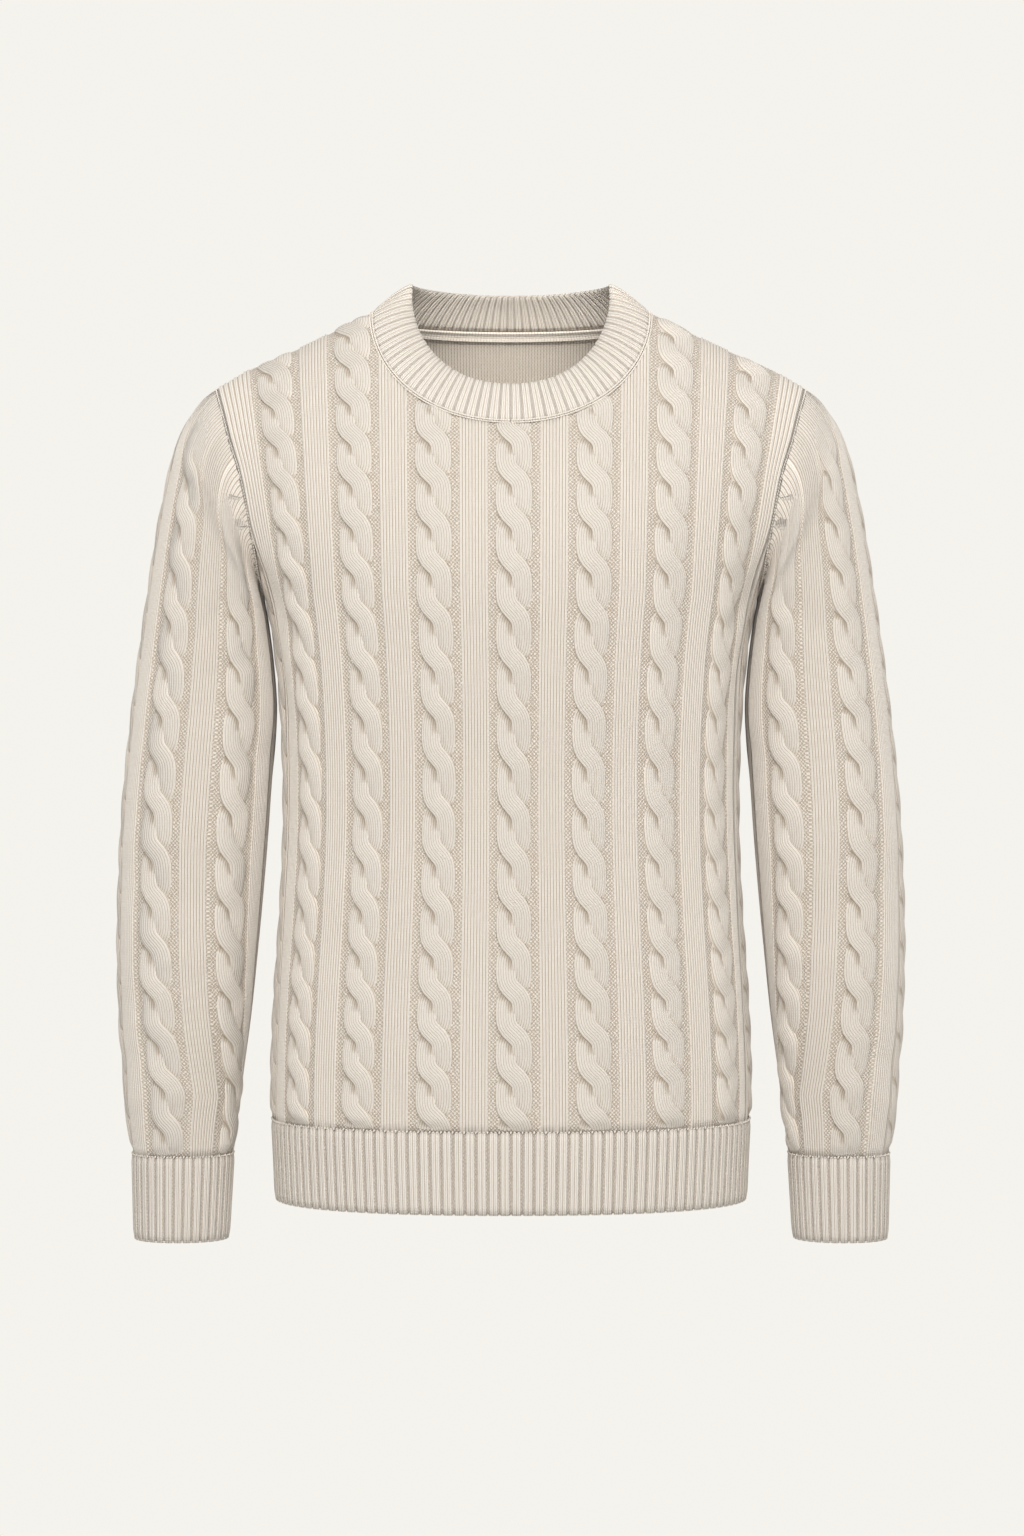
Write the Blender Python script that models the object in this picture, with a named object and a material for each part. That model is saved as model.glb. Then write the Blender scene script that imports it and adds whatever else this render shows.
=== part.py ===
# Cable knit pullover, filled out as if worn, with nobody in it.
# Sizes are in millimetres and become metres when a mesh is written.
# +Z is up, the front faces -Y, and the origin is midway between the high shoulder points.
from functools import lru_cache

import bmesh
import bpy
import numpy as np

for item in list(bpy.data.objects):
    bpy.data.objects.remove(item, do_unlink=True)

wall = 2.2          # knit ground, inner face to gutter floor
seamGap = 0.34      # between two pieces at a seam
pitch = 57.0        # one cable, its two gutters and one rib panel
centreShift = 2.2   # the middle cable stands this far to +X
halfPanel = 247.0   # centre line to side seam, along the knit
edgeWale = 204.0    # the last wale that runs on up beside the armhole
power = 2.3         # roundness of the body's sections
chest = -222.0      # height of the underarm
ribRaise = 1.3      # rib panels over the gutter floor
cableRaise = 4.1    # top strand of a cable at a crossing
valleyRaise = 1.3   # where two strands lie side by side
flatter = 0.5       # of that, where a cable is stretched flat round a side
crossingRise = 33.0   # along the knit from one crossing to the next
ribLow, ribHigh = 0.3, 1.4   # furrows and ribs of the bands, over their ground
hemRibs, cuffRibs, collarRibs = 60, 34, 90   # on half a hem, a cuff, the collar


def columns(names, rows):
    return dict(zip(names.split(), np.array(rows, float).T))


body = columns("height halfWidth front back", [
    (-680, 175.0, 128, 125), (-640, 176.5, 131, 127), (-608, 178.0, 132, 127),
    (-580, 178.5, 131, 126), (-520, 176.5, 128, 123), (-450, 171.8, 123, 118),
    (-400, 169.5, 120, 115), (-340, 169.8, 119, 114), (-290, 172.5, 121, 116),
    (-250, 177.0, 123, 119), (-222, 182.5, 124, 121), (-200, 192.0, 123, 123),
    (-170, 206.0, 120, 124), (-140, 218.0, 115, 124), (-100, 229.0, 105, 121),
    (-60, 237.0, 98, 116), (0, 243.0, 92, 108), (40, 246.0, 90, 104)])
shoulder = columns("across height", [
    (0, 27), (40, 21), (75, 8), (104, -5.5), (120, -13), (146, -26.5),
    (180, -41.5), (197, -49), (209, -56), (221, -63), (240, -76)])
armhole = columns("height across", [
    (-222, 182.5), (-205, 186.5), (-190, 188.5), (-155, 194), (-127, 200),
    (-103, 208), (-82, 214), (-64, 220), (-50, 225)])
crossing = columns("level number", [
    (-390, 15.5), (-374.6, 15), (-253, 11), (-151.4, 8), (-45.6, 5), (23, 3),
    (121, 0), (240, -3.7)])
neckHalf, neckDrop, neckPower, backDrop = 104.0, 89.0, 2.1, 6.0


def smooth(table, name, at):
    """A smooth curve through one column of a table."""
    keys = table[list(table)[0]]
    values = table[name]
    slope = np.gradient(values, keys)
    at = np.clip(at, keys[0], keys[-1])
    i = np.clip(np.searchsorted(keys, at, side="right") - 1, 0, len(keys) - 2)
    step = keys[i + 1] - keys[i]
    t = (at - keys[i]) / step
    rise = (1 + 2 * t) * (1 - t) ** 2 * values[i] + t * t * (3 - 2 * t) * values[i + 1]
    return rise + step * t * (1 - t) * ((1 - t) * slope[i] - t * slope[i + 1])


def ramp(value, low, high):
    t = np.clip((value - low) / (high - low), 0, 1)
    return t * t * (3 - 2 * t)


def depthName(side):
    return "front" if side < 0 else "back"


def climb(across, height):
    """How far up from the underarm to the shoulder line a point is, 0 to 1."""
    top = smooth(shoulder, "height", np.abs(across))
    return np.clip((height - chest) / (top - chest), 0, 1)


def bodyField(x, y, z, side):
    width = smooth(body, "halfWidth", z)
    depth = smooth(body, depthName(side), z)
    shut = 1 - climb(x, z) ** power
    return shut * ((np.abs(x) / width) ** power - 1) + (np.abs(y) / depth) ** power


def bodyNormal(point, side):
    """The way out of the body at points on it."""
    h = 0.02
    x, y, z = point.T
    rise = np.stack([
        bodyField(x + h, y, z, side) - bodyField(x - h, y, z, side),
        bodyField(x, y + h, z, side) - bodyField(x, y - h, z, side),
        bodyField(x, y, z + h, side) - bodyField(x, y, z - h, side)], 1)
    rise[:, 1] = np.where(np.abs(y) < 0.4, 0, rise[:, 1])
    return rise / np.linalg.norm(rise, axis=1, keepdims=True)


def bodyPoint(x, z, side):
    width = smooth(body, "halfWidth", z)
    depth = smooth(body, depthName(side), z)
    reach = np.clip(1 - (np.abs(x) / width) ** power, 0, 1)
    shut = np.clip(1 - climb(x, z) ** power, 0, 1)
    y = side * (seamGap / 2 + depth * (reach * shut) ** (1 / power))
    return np.stack([x, y, z], 1)


def sectionTurns(side):
    """Turn of the section for each height and share of its length."""
    heights = np.linspace(-680, chest, 58)
    turn = np.linspace(0, np.pi / 2, 700)
    shares = np.linspace(0, 1, 201)
    grid = []
    for height in heights:
        a = smooth(body, "halfWidth", height)
        b = smooth(body, depthName(side), height)
        x = a * np.sin(turn) ** (2 / power)
        y = b * np.cos(turn) ** (2 / power)
        run = np.r_[0, np.cumsum(np.hypot(np.diff(x), np.diff(y)))]
        grid.append(np.interp(shares, run / run[-1], turn))
    return heights, shares, np.array(grid)


turns = {side: sectionTurns(side) for side in (-1, 1)}


def lowPoint(wale, z, side):
    """A point at or below the underarm, by wale and height."""
    heights, shares, grid = turns[side]
    row = np.clip((z - heights[0]) / (heights[1] - heights[0]), 0, len(heights) - 1.001)
    i = row.astype(int)
    share = np.abs(wale) / halfPanel
    col = np.clip(share / (shares[1] - shares[0]), 0, len(shares) - 1.001)
    j = col.astype(int)
    r, c = row - i, col - j
    turn = ((1 - r) * ((1 - c) * grid[i, j] + c * grid[i, j + 1])
            + r * ((1 - c) * grid[i + 1, j] + c * grid[i + 1, j + 1]))
    turn = np.where(share >= 0.9999, np.pi / 2, turn)
    x = np.sign(wale) * smooth(body, "halfWidth", z) * np.sin(turn) ** (2 / power)
    depth = smooth(body, depthName(side), z)
    y = side * (seamGap / 2 + depth * np.maximum(np.cos(turn), 0) ** (2 / power))
    return np.stack([x, y, z], 1)


@lru_cache(maxsize=None)
def chestAcross(wale, side):
    return abs(lowPoint(np.array([wale]), np.array([chest]), side)[0, 0])


def cutHeight(wale):
    """Where a wale beyond the edge wale is cut off by the armhole."""
    share = np.clip((abs(wale) - edgeWale) / (halfPanel - edgeWale), 0, 1)
    return chest + 57 * (1 - share) ** 1.6


def acrossAt(wale, z, side):
    """Distance from the centre line above the underarm."""
    size = abs(wale)
    start = chestAcross(wale, side)
    if size > edgeWale - 0.01:
        end = cutHeight(wale)
        share = np.clip((z - chest) / max(end - chest, 0.01), 0, 1)
        x = start + (smooth(armhole, "across", end) - start) * share
        x = np.where(z > end, smooth(armhole, "across", z), x)
    else:
        share = np.clip((z - chest) / (-50 - chest), 0, 1.2)
        x = start + (size * 1.04 - start) * share
    return np.sign(wale) * x


def neckHeight(x, side):
    reach = np.clip(1 - (np.abs(x) / neckHalf) ** neckPower, 0, 1) ** (1 / neckPower)
    return -5.5 - (neckDrop if side < 0 else backDrop) * reach


@lru_cache(maxsize=None)
def topHeight(wale, side):
    """Where a wale ends at the neck, the shoulder or the armhole."""
    if abs(wale) > edgeWale + 0.01:
        return cutHeight(wale)
    z = -40.0
    for _ in range(40):
        x = abs(float(acrossAt(wale, np.array([z]), side)[0]))
        ends = neckHeight(x, side) if x < neckHalf else smooth(shoulder, "height", x)
        z += 0.6 * (float(ends) - z)
    return z


@lru_cache(maxsize=None)
def profile(wale, side):
    """A wale from the underarm to its top: points and the length run so far."""
    top = topHeight(wale, side)
    z = chest + (top - chest) * np.sin(np.linspace(0, np.pi / 2, 90))
    point = bodyPoint(acrossAt(wale, z, side), z, side)
    step = np.linalg.norm(np.diff(point, axis=0), axis=1)
    return point, np.r_[0, np.cumsum(step)]


def waleTop(wale, side):
    return profile(wale, side)[1][-1]


def walePoints(wale, levels, side):
    """Points on the gutter floor, by level: 0 at the underarm, minus below it."""
    levels = np.asarray(levels, float)
    low = lowPoint(np.full(len(levels), float(wale)), np.minimum(levels, 0) + chest, side)
    point, run = profile(wale, side)
    high = np.stack([np.interp(levels, run, point[:, k]) for k in range(3)], 1)
    return np.where(levels[:, None] < 0, low, high)


class Shell:
    """Collects the points and triangles of one closed piece."""

    def __init__(self):
        self.points = []
        self.faces = []

    def add(self, points):
        start = len(self.points)
        self.points.extend(np.asarray(points, float).tolist())
        return list(range(start, len(self.points)))

    def strip(self, first, second):
        """Triangles between two lines of (key, point) pairs in rising order."""
        i = j = 0
        while i < len(first) - 1 or j < len(second) - 1:
            ahead = first[i + 1][0] if i < len(first) - 1 else np.inf
            other = second[j + 1][0] if j < len(second) - 1 else np.inf
            if other < ahead + 1e-9:
                face = (first[i][1], second[j][1], second[j + 1][1])
                j += 1
            else:
                face = (first[i][1], second[j][1], first[i + 1][1])
                i += 1
            if len(set(face)) == 3:
                self.faces.append(face)

    def build(self, name, material, group):
        mesh = bpy.data.meshes.new(name)
        mesh.from_pydata([[v * 0.001 for v in p] for p in self.points], [], self.faces)
        work = bmesh.new()
        work.from_mesh(mesh)
        bmesh.ops.recalc_face_normals(work, faces=work.faces)
        if work.calc_volume(signed=True) < 0:
            bmesh.ops.reverse_faces(work, faces=work.faces)
        work.to_mesh(mesh)
        work.free()
        item = bpy.data.objects.new(name, mesh)
        item.data.materials.append(material)
        group.objects.link(item)
        return item


def nearKeys(points, ids, line):
    """Keys of points by where they come nearest to a border line."""
    run = np.r_[0, np.cumsum(np.linalg.norm(np.diff(line, axis=0), axis=1))]
    spots = np.array([points[i] for i in ids])
    far = np.linalg.norm(spots[:, None] - line[None], axis=2)
    keys = np.maximum.accumulate(run[far.argmin(1)])
    return list(zip((keys + np.arange(len(ids)) * 1e-6).tolist(), ids))


def ladder(shell, lines):
    for below, above in zip(lines[:-1], lines[1:]):
        shell.strip(below, above)


# Across one pitch: distance from the cable's middle, share of its raise, how far the
# lobes are carried down to the right, in crossings, and the raise of plain knit.
fineAcross = columns("offset raised carried flat", [
    (-18.0, 0, 0, ribRaise), (-13.5, 0, 0, 0), (-5.2, 1, -0.34, 0),
    (5.2, 1, 0.34, 0), (13.5, 0, 0, 0), (18.0, 0, 0, ribRaise)])
plainAcross = columns("offset raised carried flat", [
    (-13.5, 0, 0, 0), (-5.2, 1, -0.34, 0), (5.2, 1, 0.34, 0), (13.5, 0, 0, 0),
    (28.5, 0, 0, ribRaise)])


def panelLines(side):
    """The wales that are drawn, with the relief that each carries."""
    lines = []
    for number in range(-5, 6):
        firm = flatter if abs(number) == 4 else 1.0
        for offset, raised, *rest in zip(*(fineAcross if side < 0 else plainAcross).values()):
            lines.append((centreShift + number * pitch + offset, raised * firm, *rest))
    keep = [line for line in lines
            if abs(line[0]) < halfPanel - 4 and abs(abs(line[0]) - edgeWale) > 3]
    keep += [(s * edgeWale, 0, 0, 0) for s in (-1, 1)]
    keep += [(s * halfPanel, 0, 0, 0.5) for s in (-1, 1)]
    return sorted(keep)


def crossingLevel(number):
    """Level of a crossing, by its number."""
    order = np.argsort(crossing["number"])
    turned = {"number": crossing["number"][order], "level": crossing["level"][order]}
    return smooth(turned, "level", np.asarray(number, float))


panelFoot = -385.4   # the panels end here, over the hem rib


def waleRows(wale, side, carried, step):
    """Level, key and lobe (1) or valley (0) of a wale's points, from the foot up."""
    top = waleTop(wale, side)
    numbers = np.arange(15.5, -8, -step)
    last = crossing["number"].min()
    levels = crossingLevel(np.maximum(numbers, last)) + side * carried * crossingRise
    levels -= np.minimum(numbers - last, 0) * crossingRise
    rows = [(panelFoot, -99.0, 0.0)]
    for number, level in zip(numbers, levels):
        if panelFoot + 5 < level < top - 9:
            lobe = 1.0 if abs(number - round(number)) < 0.01 else 0.0
            rows.append((float(level), -float(number), lobe))
    rows.append((float(top) - 5.0, 99.0, 0.0))
    return rows


def panelBorder(side):
    """The border from one side seam over armhole, shoulder and neck to the other."""
    arm = armLine(side)[::-1]
    neck = neckLine(side)[0][::-1]
    x = np.linspace(arm[-1, 0], neckHalf, 60)
    ridge = bodyPoint(x, smooth(shoulder, "height", x), side)
    line, corners = [], []
    for part, count in ((arm, 24), (ridge, 8), (neck, 20 if side < 0 else 15)):
        run = np.r_[0, np.cumsum(np.linalg.norm(np.diff(part, axis=0), axis=1))]
        at = np.linspace(0, run[-1], count + 1)[1 if line else 0:]
        line += list(np.stack([np.interp(at, run, part[:, k]) for k in range(3)], 1))
    half = np.array(line)
    return np.r_[half * [-1, 1, 1], half[-2::-1]]


def panelSkin(shell, lines, side, step, depth):
    """One face of a body panel: wales joined side by side, and its border."""
    cols, top = [], []
    for wale, raised, carried, flat in lines:
        rows = waleRows(wale, side, carried, step)
        levels = np.array([r[0] for r in rows])
        base = walePoints(wale, levels, side)
        lobe = np.array([r[2] for r in rows])
        lift = flat + raised * (valleyRaise + (cableRaise - valleyRaise) * lobe)
        if abs(wale) > edgeWale + 1:
            lift = lift * (1 - 0.6 * ramp(levels, -130, -60))
        edge = abs(abs(wale) - edgeWale) < 0.01
        cut = len(rows) - 1
        if edge:
            cut = int(np.argmax(base[:, 2] > chest + 50))
            inset = np.minimum(np.maximum(base[:, 2] - chest - 25, 0) / 5, 5)
            base = bodyPoint(base[:, 0] - np.sign(wale) * inset, base[:, 2], side)
            base[:cut] = walePoints(wale, levels[:cut], side)
        lift[0] = 0.3
        lift = -depth + 0 * lift if depth else lift
        ids = shell.add(base + bodyNormal(base, side) * lift[:, None])
        line = list(zip([r[1] for r in rows], ids))
        top += ids[cut:] if wale < 0 else ids[cut:][::-1]
        if cols:
            left, leftCut, leftWale = cols[-1]
            shell.strip(left[:leftCut + 1] if leftWale > 0 else left,
                        line[:cut + 1] if wale < 0 else line)
        cols.append((line, cut, wale))
    return [line for line, _, _ in cols], top


def bodyPanel(side):
    """A front or back panel: knitted relief outside, plain inside."""
    shell = Shell()
    near = np.arange(-4, 5) * (24.0 if side < 0 else 18.0)
    wales = list(near) + [s * w for s in (-1, 1) for w in (
        near[-1] + 25, near[-1] + 52, 176.0, edgeWale, 226.0, halfPanel)]
    skins = []
    edge = panelBorder(side)
    run = np.r_[0, np.cumsum(np.linalg.norm(np.diff(edge, axis=0), axis=1))]
    for lines, step, depth in ((panelLines(side), 0.5, 0),
                               ([(w, 0, 0, 0) for w in sorted(wales)], 1.5, wall)):
        cols, top = panelSkin(shell, lines, side, step, depth)
        rim = shell.add(edge - bodyNormal(edge, side) * depth)
        shell.strip(nearKeys(shell.points, top, edge), list(zip(run.tolist(), rim)))
        first = cols[0] + [(100.0, rim[0])]
        last = cols[-1] + [(100.0, rim[-1])]
        foot = [(shell.points[line[0][1]][0], line[0][1]) for line in cols]
        skins.append((first, last, foot, list(zip(run.tolist(), rim))))
    for inside, outside in zip(*skins):
        shell.strip(inside, outside)
    return shell


def hemRib(side):
    """Half of the hem's rib band."""
    shell = Shell()
    levels = np.array([panelFoot - seamGap, -445.5])
    skins = []
    for count, inside in ((2 * hemRibs + 1, False), (27, True)):
        lines = []
        for level in levels:
            wale = np.linspace(-halfPanel, halfPanel, count)
            base = lowPoint(wale, np.full(count, chest + level), side)
            rib = np.where(np.arange(count) % 2, ribHigh, ribLow)
            lift = np.full(count, -wall) if inside else rib
            ids = shell.add(base + bodyNormal(base, side) * lift[:, None])
            lines.append(list(zip(np.linspace(0, 1, count).tolist(), ids)))
        ladder(shell, lines)
        skins.append(lines)
    outer, inner = skins
    for end in (0, -1):
        shell.strip(inner[end], outer[end])
        sides = [[(k, line[end][1]) for k, line in enumerate(skin)] for skin in skins]
        shell.strip(sides[1], sides[0])
    return shell


@lru_cache(maxsize=None)
def armLine(side):
    """The armhole's edge on one panel, from the shoulder point to the underarm."""
    top = topHeight(edgeWale, side)
    z = chest + (top - chest) * (1 + np.cos(np.linspace(0, np.pi, 160))) / 2
    return bodyPoint(smooth(armhole, "across", z), z, side)


def armLoop(share, sign):
    """Points round an armhole: 0 at the shoulder, 0.25 front, 0.5 underarm, 0.75 back."""
    share = np.mod(share, 1.0)
    result = np.zeros((len(share), 3))
    out = np.zeros((len(share), 3))
    away = np.zeros((len(share), 3))
    for side in (-1, 1):
        line = armLine(side)
        normal = bodyNormal(line, side)
        along = np.gradient(line, axis=0)
        along /= np.linalg.norm(along, axis=1, keepdims=True)
        off = np.cross(along, normal) * side
        run = np.r_[0, np.cumsum(np.linalg.norm(np.diff(line, axis=0), axis=1))]
        at = 2 * (share if side < 0 else 1 - share) * run[-1]
        here = share <= 0.5 if side < 0 else share > 0.5
        for target, source in ((result, line), (out, normal), (away, off)):
            value = np.stack([np.interp(at, run, source[:, k]) for k in range(3)], 1)
            target[here] = value[here]
    for target in (result, out, away):
        target[:, 0] *= sign
    return result, out, away


# Sleeve rings, from the armhole to the cuff seam: how far along, the outer and inner
# ends of each ring seen from the front, and half its depth.
rings = columns("run outX outZ inX inZ depth", [
    (0, 221, -63, 182.8, -221.7, 62), (4, 227, -66, 184.6, -219.4, 61.5),
    (9, 234, -73, 187.2, -222.0, 61), (18, 242, -86, 187.4, -230, 60.5),
    (32, 250, -106, 186.4, -241, 60), (52, 257, -134, 185.0, -256, 59.5),
    (78, 264, -170, 183.0, -276, 59), (108, 271, -216, 181.2, -300, 59),
    (140, 277.5, -262, 180.2, -326, 58.5), (176, 283.5, -310, 180.4, -356, 58),
    (216, 288.8, -362, 182.4, -394, 57.5), (262, 292.2, -420, 186.2, -440, 56),
    (306, 293.6, -473, 190.4, -484, 54.5), (346, 292.8, -520, 194.8, -526, 52.5),
    (398, 289.2, -578, 202.0, -580, 47), (432, 285.8, -613, 206.4, -614, 42.5),
    (452, 283.0, -634, 208.6, -634, 40)])
sleeveEnd = 452.0
sleevePower = 2.15
sleeveHalf = 177.5
sleeveEven = 60.0     # beyond this wale the knit is spread over the fuller sleeve head
sleeveCables = (-112, -53.5, 5, 63.5, 122)
armWales = columns("wale share", [
    (0, 0), (24, 0.014), (47, 0.036), (63.5, 0.072), (80, 0.115), (105.5, 0.19), (122, 0.255),
    (138.5, 0.325), (158, 0.412), (177.5, 0.5)])
armCrossing = columns("number height", [
    (-1, -7), (0, 26), (3, 126.5), (6, 229), (8, 300), (11, 405), (14, 511), (17, 616)])


def ringLoop(run, share, sign):
    """A point on the ring at each run, by its share of the way round."""
    ends = {name: smooth(rings, name, run) for name in list(rings)[1:]}
    wide = np.stack([ends["outX"] - ends["inX"], ends["outZ"] - ends["inZ"]], 1) / 2
    mid = np.stack([ends["outX"] + ends["inX"], ends["outZ"] + ends["inZ"]], 1) / 2
    half = np.hypot(wide[:, 0], wide[:, 1])
    turn = np.linspace(0, np.pi / 2, 120)
    unitX = np.cos(turn) ** (2 / sleevePower)
    unitY = np.sin(turn) ** (2 / sleevePower)
    share = np.mod(share, 1)
    quarter = np.abs(np.mod(share * 4 + 1, 2) - 1)
    near = np.where((share < 0.25) | (share > 0.75), 1.0, -1.0)
    fore = np.where(share < 0.5, -1.0, 1.0)
    xs, ys = np.zeros(len(run)), np.zeros(len(run))
    for k in range(len(run)):
        step = np.hypot(np.diff(unitX) * half[k], np.diff(unitY) * ends["depth"][k])
        length = np.r_[0, np.cumsum(step)]
        at = quarter[k] * length[-1]
        xs[k] = np.interp(at, length, unitX) * near[k]
        ys[k] = np.interp(at, length, unitY) * fore[k]
    x = mid[:, 0] + wide[:, 0] * xs
    z = mid[:, 1] + wide[:, 1] * xs
    return np.stack([sign * x, ys * ends["depth"], z], 1)


def ringGirth(run):
    wide = np.hypot(smooth(rings, "outX", run) - smooth(rings, "inX", run),
                    smooth(rings, "outZ", run) - smooth(rings, "inZ", run)) / 2
    deep = smooth(rings, "depth", run)
    return 2 * np.pi * np.sqrt((wide ** 2 + deep ** 2) / 2) * 1.012


def sleeveShare(wale, run, sign):
    """How far round the ring a wale is. Front wales are above 0."""
    size = np.abs(wale)
    half = ringGirth(run) / 2
    scale = np.minimum(1, (half - 8) / 133)
    rest = 133 * scale + (size - 133) * (half - 133 * scale) / (sleeveHalf - 133)
    narrow = np.where(size < 133, size * scale, rest)
    fuller = (half - sleeveEven) / (sleeveHalf - sleeveEven)
    wide = np.minimum(size, sleeveEven) + np.maximum(size - sleeveEven, 0) * fuller
    share = np.where(half > sleeveHalf, wide, narrow) / (2 * half)
    head = smooth(armWales, "share", size)
    share = head + (share - head) * ramp(run, 0, 38)
    turn = 8 * ramp(run, 150, 330) if sign > 0 else -2.5 * ramp(run, 380, 450)
    return np.sign(wale) * share + turn * (1 - size / sleeveHalf) / (2 * half)


def sleeveBase(wale, run, sign):
    """Points on a sleeve's gutter floor and the way out there."""
    wale = np.zeros(len(run)) + wale
    share = sleeveShare(wale, run, sign)
    ring = ringLoop(run, share, sign)
    edge, _, away = armLoop(share, sign)
    near = (1 - ramp(run, 0, 26))[:, None]
    bow = edge + away * (seamGap + run[:, None] * 0.8)
    return ring + (bow - ring) * near


def sleevePoints(wale, run, sign):
    run = np.asarray(run, float)
    wale = np.zeros(len(run)) + wale
    base = sleeveBase(wale, run, sign)
    h = 0.4
    low, high = np.clip(run - h, 0, sleeveEnd), np.clip(run + h, 0, sleeveEnd)
    along = sleeveBase(wale, high, sign) - sleeveBase(wale, low, sign)
    share = sleeveShare(wale, run, sign)
    turned = 0.002

    def at(amount):
        ring = ringLoop(run, share + amount, sign)
        edge, _, away = armLoop(share + amount, sign)
        near = (1 - ramp(run, 0, 26))[:, None]
        return ring + (edge + away * (seamGap + run[:, None] * 0.8) - ring) * near

    around = at(turned) - at(-turned)
    out = np.cross(around, along) * sign
    out /= np.linalg.norm(out, axis=1, keepdims=True)
    out = np.where(run[:, None] < 0.01, armLoop(share, sign)[1], out)
    return base, out


def sleeveRuns(wale, sign, step, carried):
    """Runs of a wale's points, equal lengths apart, counted up from the cuff."""
    fine = np.linspace(0, sleeveEnd, 160)
    line = sleeveBase(np.full(160, float(wale)), fine, sign)
    run = np.r_[0, np.cumsum(np.linalg.norm(np.diff(line, axis=0), axis=1))]
    total = run[-1]
    rows = [(sleeveEnd, -99.0, 0.0)]
    for number in range(int(17 / step)):
        height = float(smooth(armCrossing, "height", number * step - carried))
        if 5 < height < total - 14:
            lobe = float(abs(number * step - round(number * step)) < 0.01)
            rows.append((float(np.interp(total - height, run, fine)), float(number), lobe))
    rows.append((float(np.interp(7.0, run, fine)), 999.0, 0.0))
    return rows


def sleeve(sign):
    """A set-in sleeve: a tube from the armhole to the cuff seam."""
    shell = Shell()
    lines = [(-sleeveHalf, 0, 0, 0.8)]
    for middle in sleeveCables:
        firm = flatter if abs(middle) < 10 else 1.0
        for offset, raised, carried, flat in zip(*plainAcross.values()):
            lines.append((middle + offset, raised * firm, -sign * carried, flat))
    coarse = [w for w in np.arange(-5, 6) * 28.75 if abs(w) < 150]
    coarse = [(w, 0, 0, 0) for w in coarse + [-sleeveHalf, -163.0, 163.0]]
    rimShare = np.arange(56) / 56
    skins = []
    for rows, step, depth in ((sorted(lines), 0.5, 0), (sorted(coarse), 1.5, wall)):
        cols = []
        for wale, raised, carried, flat in rows:
            runs = sleeveRuns(wale, sign, step, carried)
            base, out = sleevePoints(wale, [r[0] for r in runs], sign)
            lobe = np.array([r[2] for r in runs])
            lift = flat + raised * (valleyRaise + (cableRaise - valleyRaise) * lobe)
            if abs(wale) > 125:
                lift = lift * (1 - 0.75 * ramp(base[:, 2], -380, -320))
            lift[0] = 0.3
            lift = -depth + 0 * lift if depth else lift
            ids = shell.add(base + out * lift[:, None])
            cols.append(list(zip([r[1] for r in runs], ids)))
        ladder(shell, cols + cols[:1])
        edge, out, away = armLoop(rimShare, sign)
        rim = shell.add(edge + away * seamGap - out * depth)
        rim = list(zip(np.arange(57) / 56, rim + rim[:1]))
        heads = np.array([row[0] for row in rows])
        share = sleeveShare(heads, 0 * heads + 5.0, sign)
        keys = np.r_[share, share[0] + 1] - share[0]
        first = int(np.ceil(share[0] * 56 - 1e-6)) % 56
        ids = [i for _, i in rim[:-1]]
        ids = ids[first:] + ids[:first + 1]
        turn = (np.arange(57) / 56).tolist()
        head = [line[-1][1] for line in cols]
        shell.strip(list(zip(keys.tolist(), head + head[:1])), list(zip(turn, ids)))
        foot = [line[0][1] for line in cols]
        skins.append((list(zip(keys.tolist(), foot + foot[:1])), rim))
    for inside, outside in zip(*skins):
        shell.strip(inside, outside)
    return shell


def cuff(sign):
    """A rib cuff, from the sleeve's end down."""
    shell = Shell()
    stages = columns("height size drift", [(-634 - seamGap, 1.0, 0), (-698, 0.93, 1.1)])
    mid = np.array([sign * (283.0 + 208.6) / 2, 0, 0])
    skins = []
    for count, inside in ((2 * cuffRibs, False), (22, True)):
        share = np.arange(count) / count
        end = np.full(count, sleeveEnd)
        base = ringLoop(end, share, sign)
        way = ringLoop(end, share + 0.002, sign) - ringLoop(end, share - 0.002, sign)
        out = np.stack([way[:, 1], -way[:, 0], way[:, 2] * 0], 1) * -sign
        out /= np.linalg.norm(out, axis=1, keepdims=True)
        rib = np.where(np.arange(count) % 2, ribHigh, ribLow)
        lift = np.full(count, -wall) if inside else rib
        lines = []
        for height, size, drift in zip(*stages.values()):
            place = mid + (base - mid) * np.array([size, size, 1])
            place[:, 2] = height
            place[:, 0] += sign * drift
            ids = shell.add(place + out * lift[:, None])
            keys = (np.arange(count + 1) / count).tolist()
            lines.append(list(zip(keys, ids + ids[:1])))
        ladder(shell, lines)
        skins.append(lines)
    for end in (0, -1):
        shell.strip(skins[1][end], skins[0][end])
    return shell


@lru_cache(maxsize=None)
def neckLine(side):
    """A panel's neck edge from the centre to the high shoulder point, at +X."""
    turn = np.linspace(0, np.pi / 2, 120)
    x = neckHalf * np.sin(turn) ** (2 / neckPower)
    x[-1] = neckHalf
    point = bodyPoint(x, neckHeight(x, side), side)
    normal = bodyNormal(point, side)
    along = np.gradient(point, axis=0)
    along /= np.linalg.norm(along, axis=1, keepdims=True)
    off = np.cross(along, normal) * side
    return point, normal, off


def collarTop(turn, side):
    """The collar's upper edge at +X, by turn from the centre."""
    wide = 75 * np.sin(turn) ** (2 / 2.2)
    reach = np.cos(turn) ** (2 / 2.2)
    if side < 0:
        return np.stack([wide, 5 - 76 * reach, 17 - 82 * reach], 1)
    return np.stack([wide, 5 + 45 * reach, 17 - 3.5 * reach ** 2.5], 1)


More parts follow.
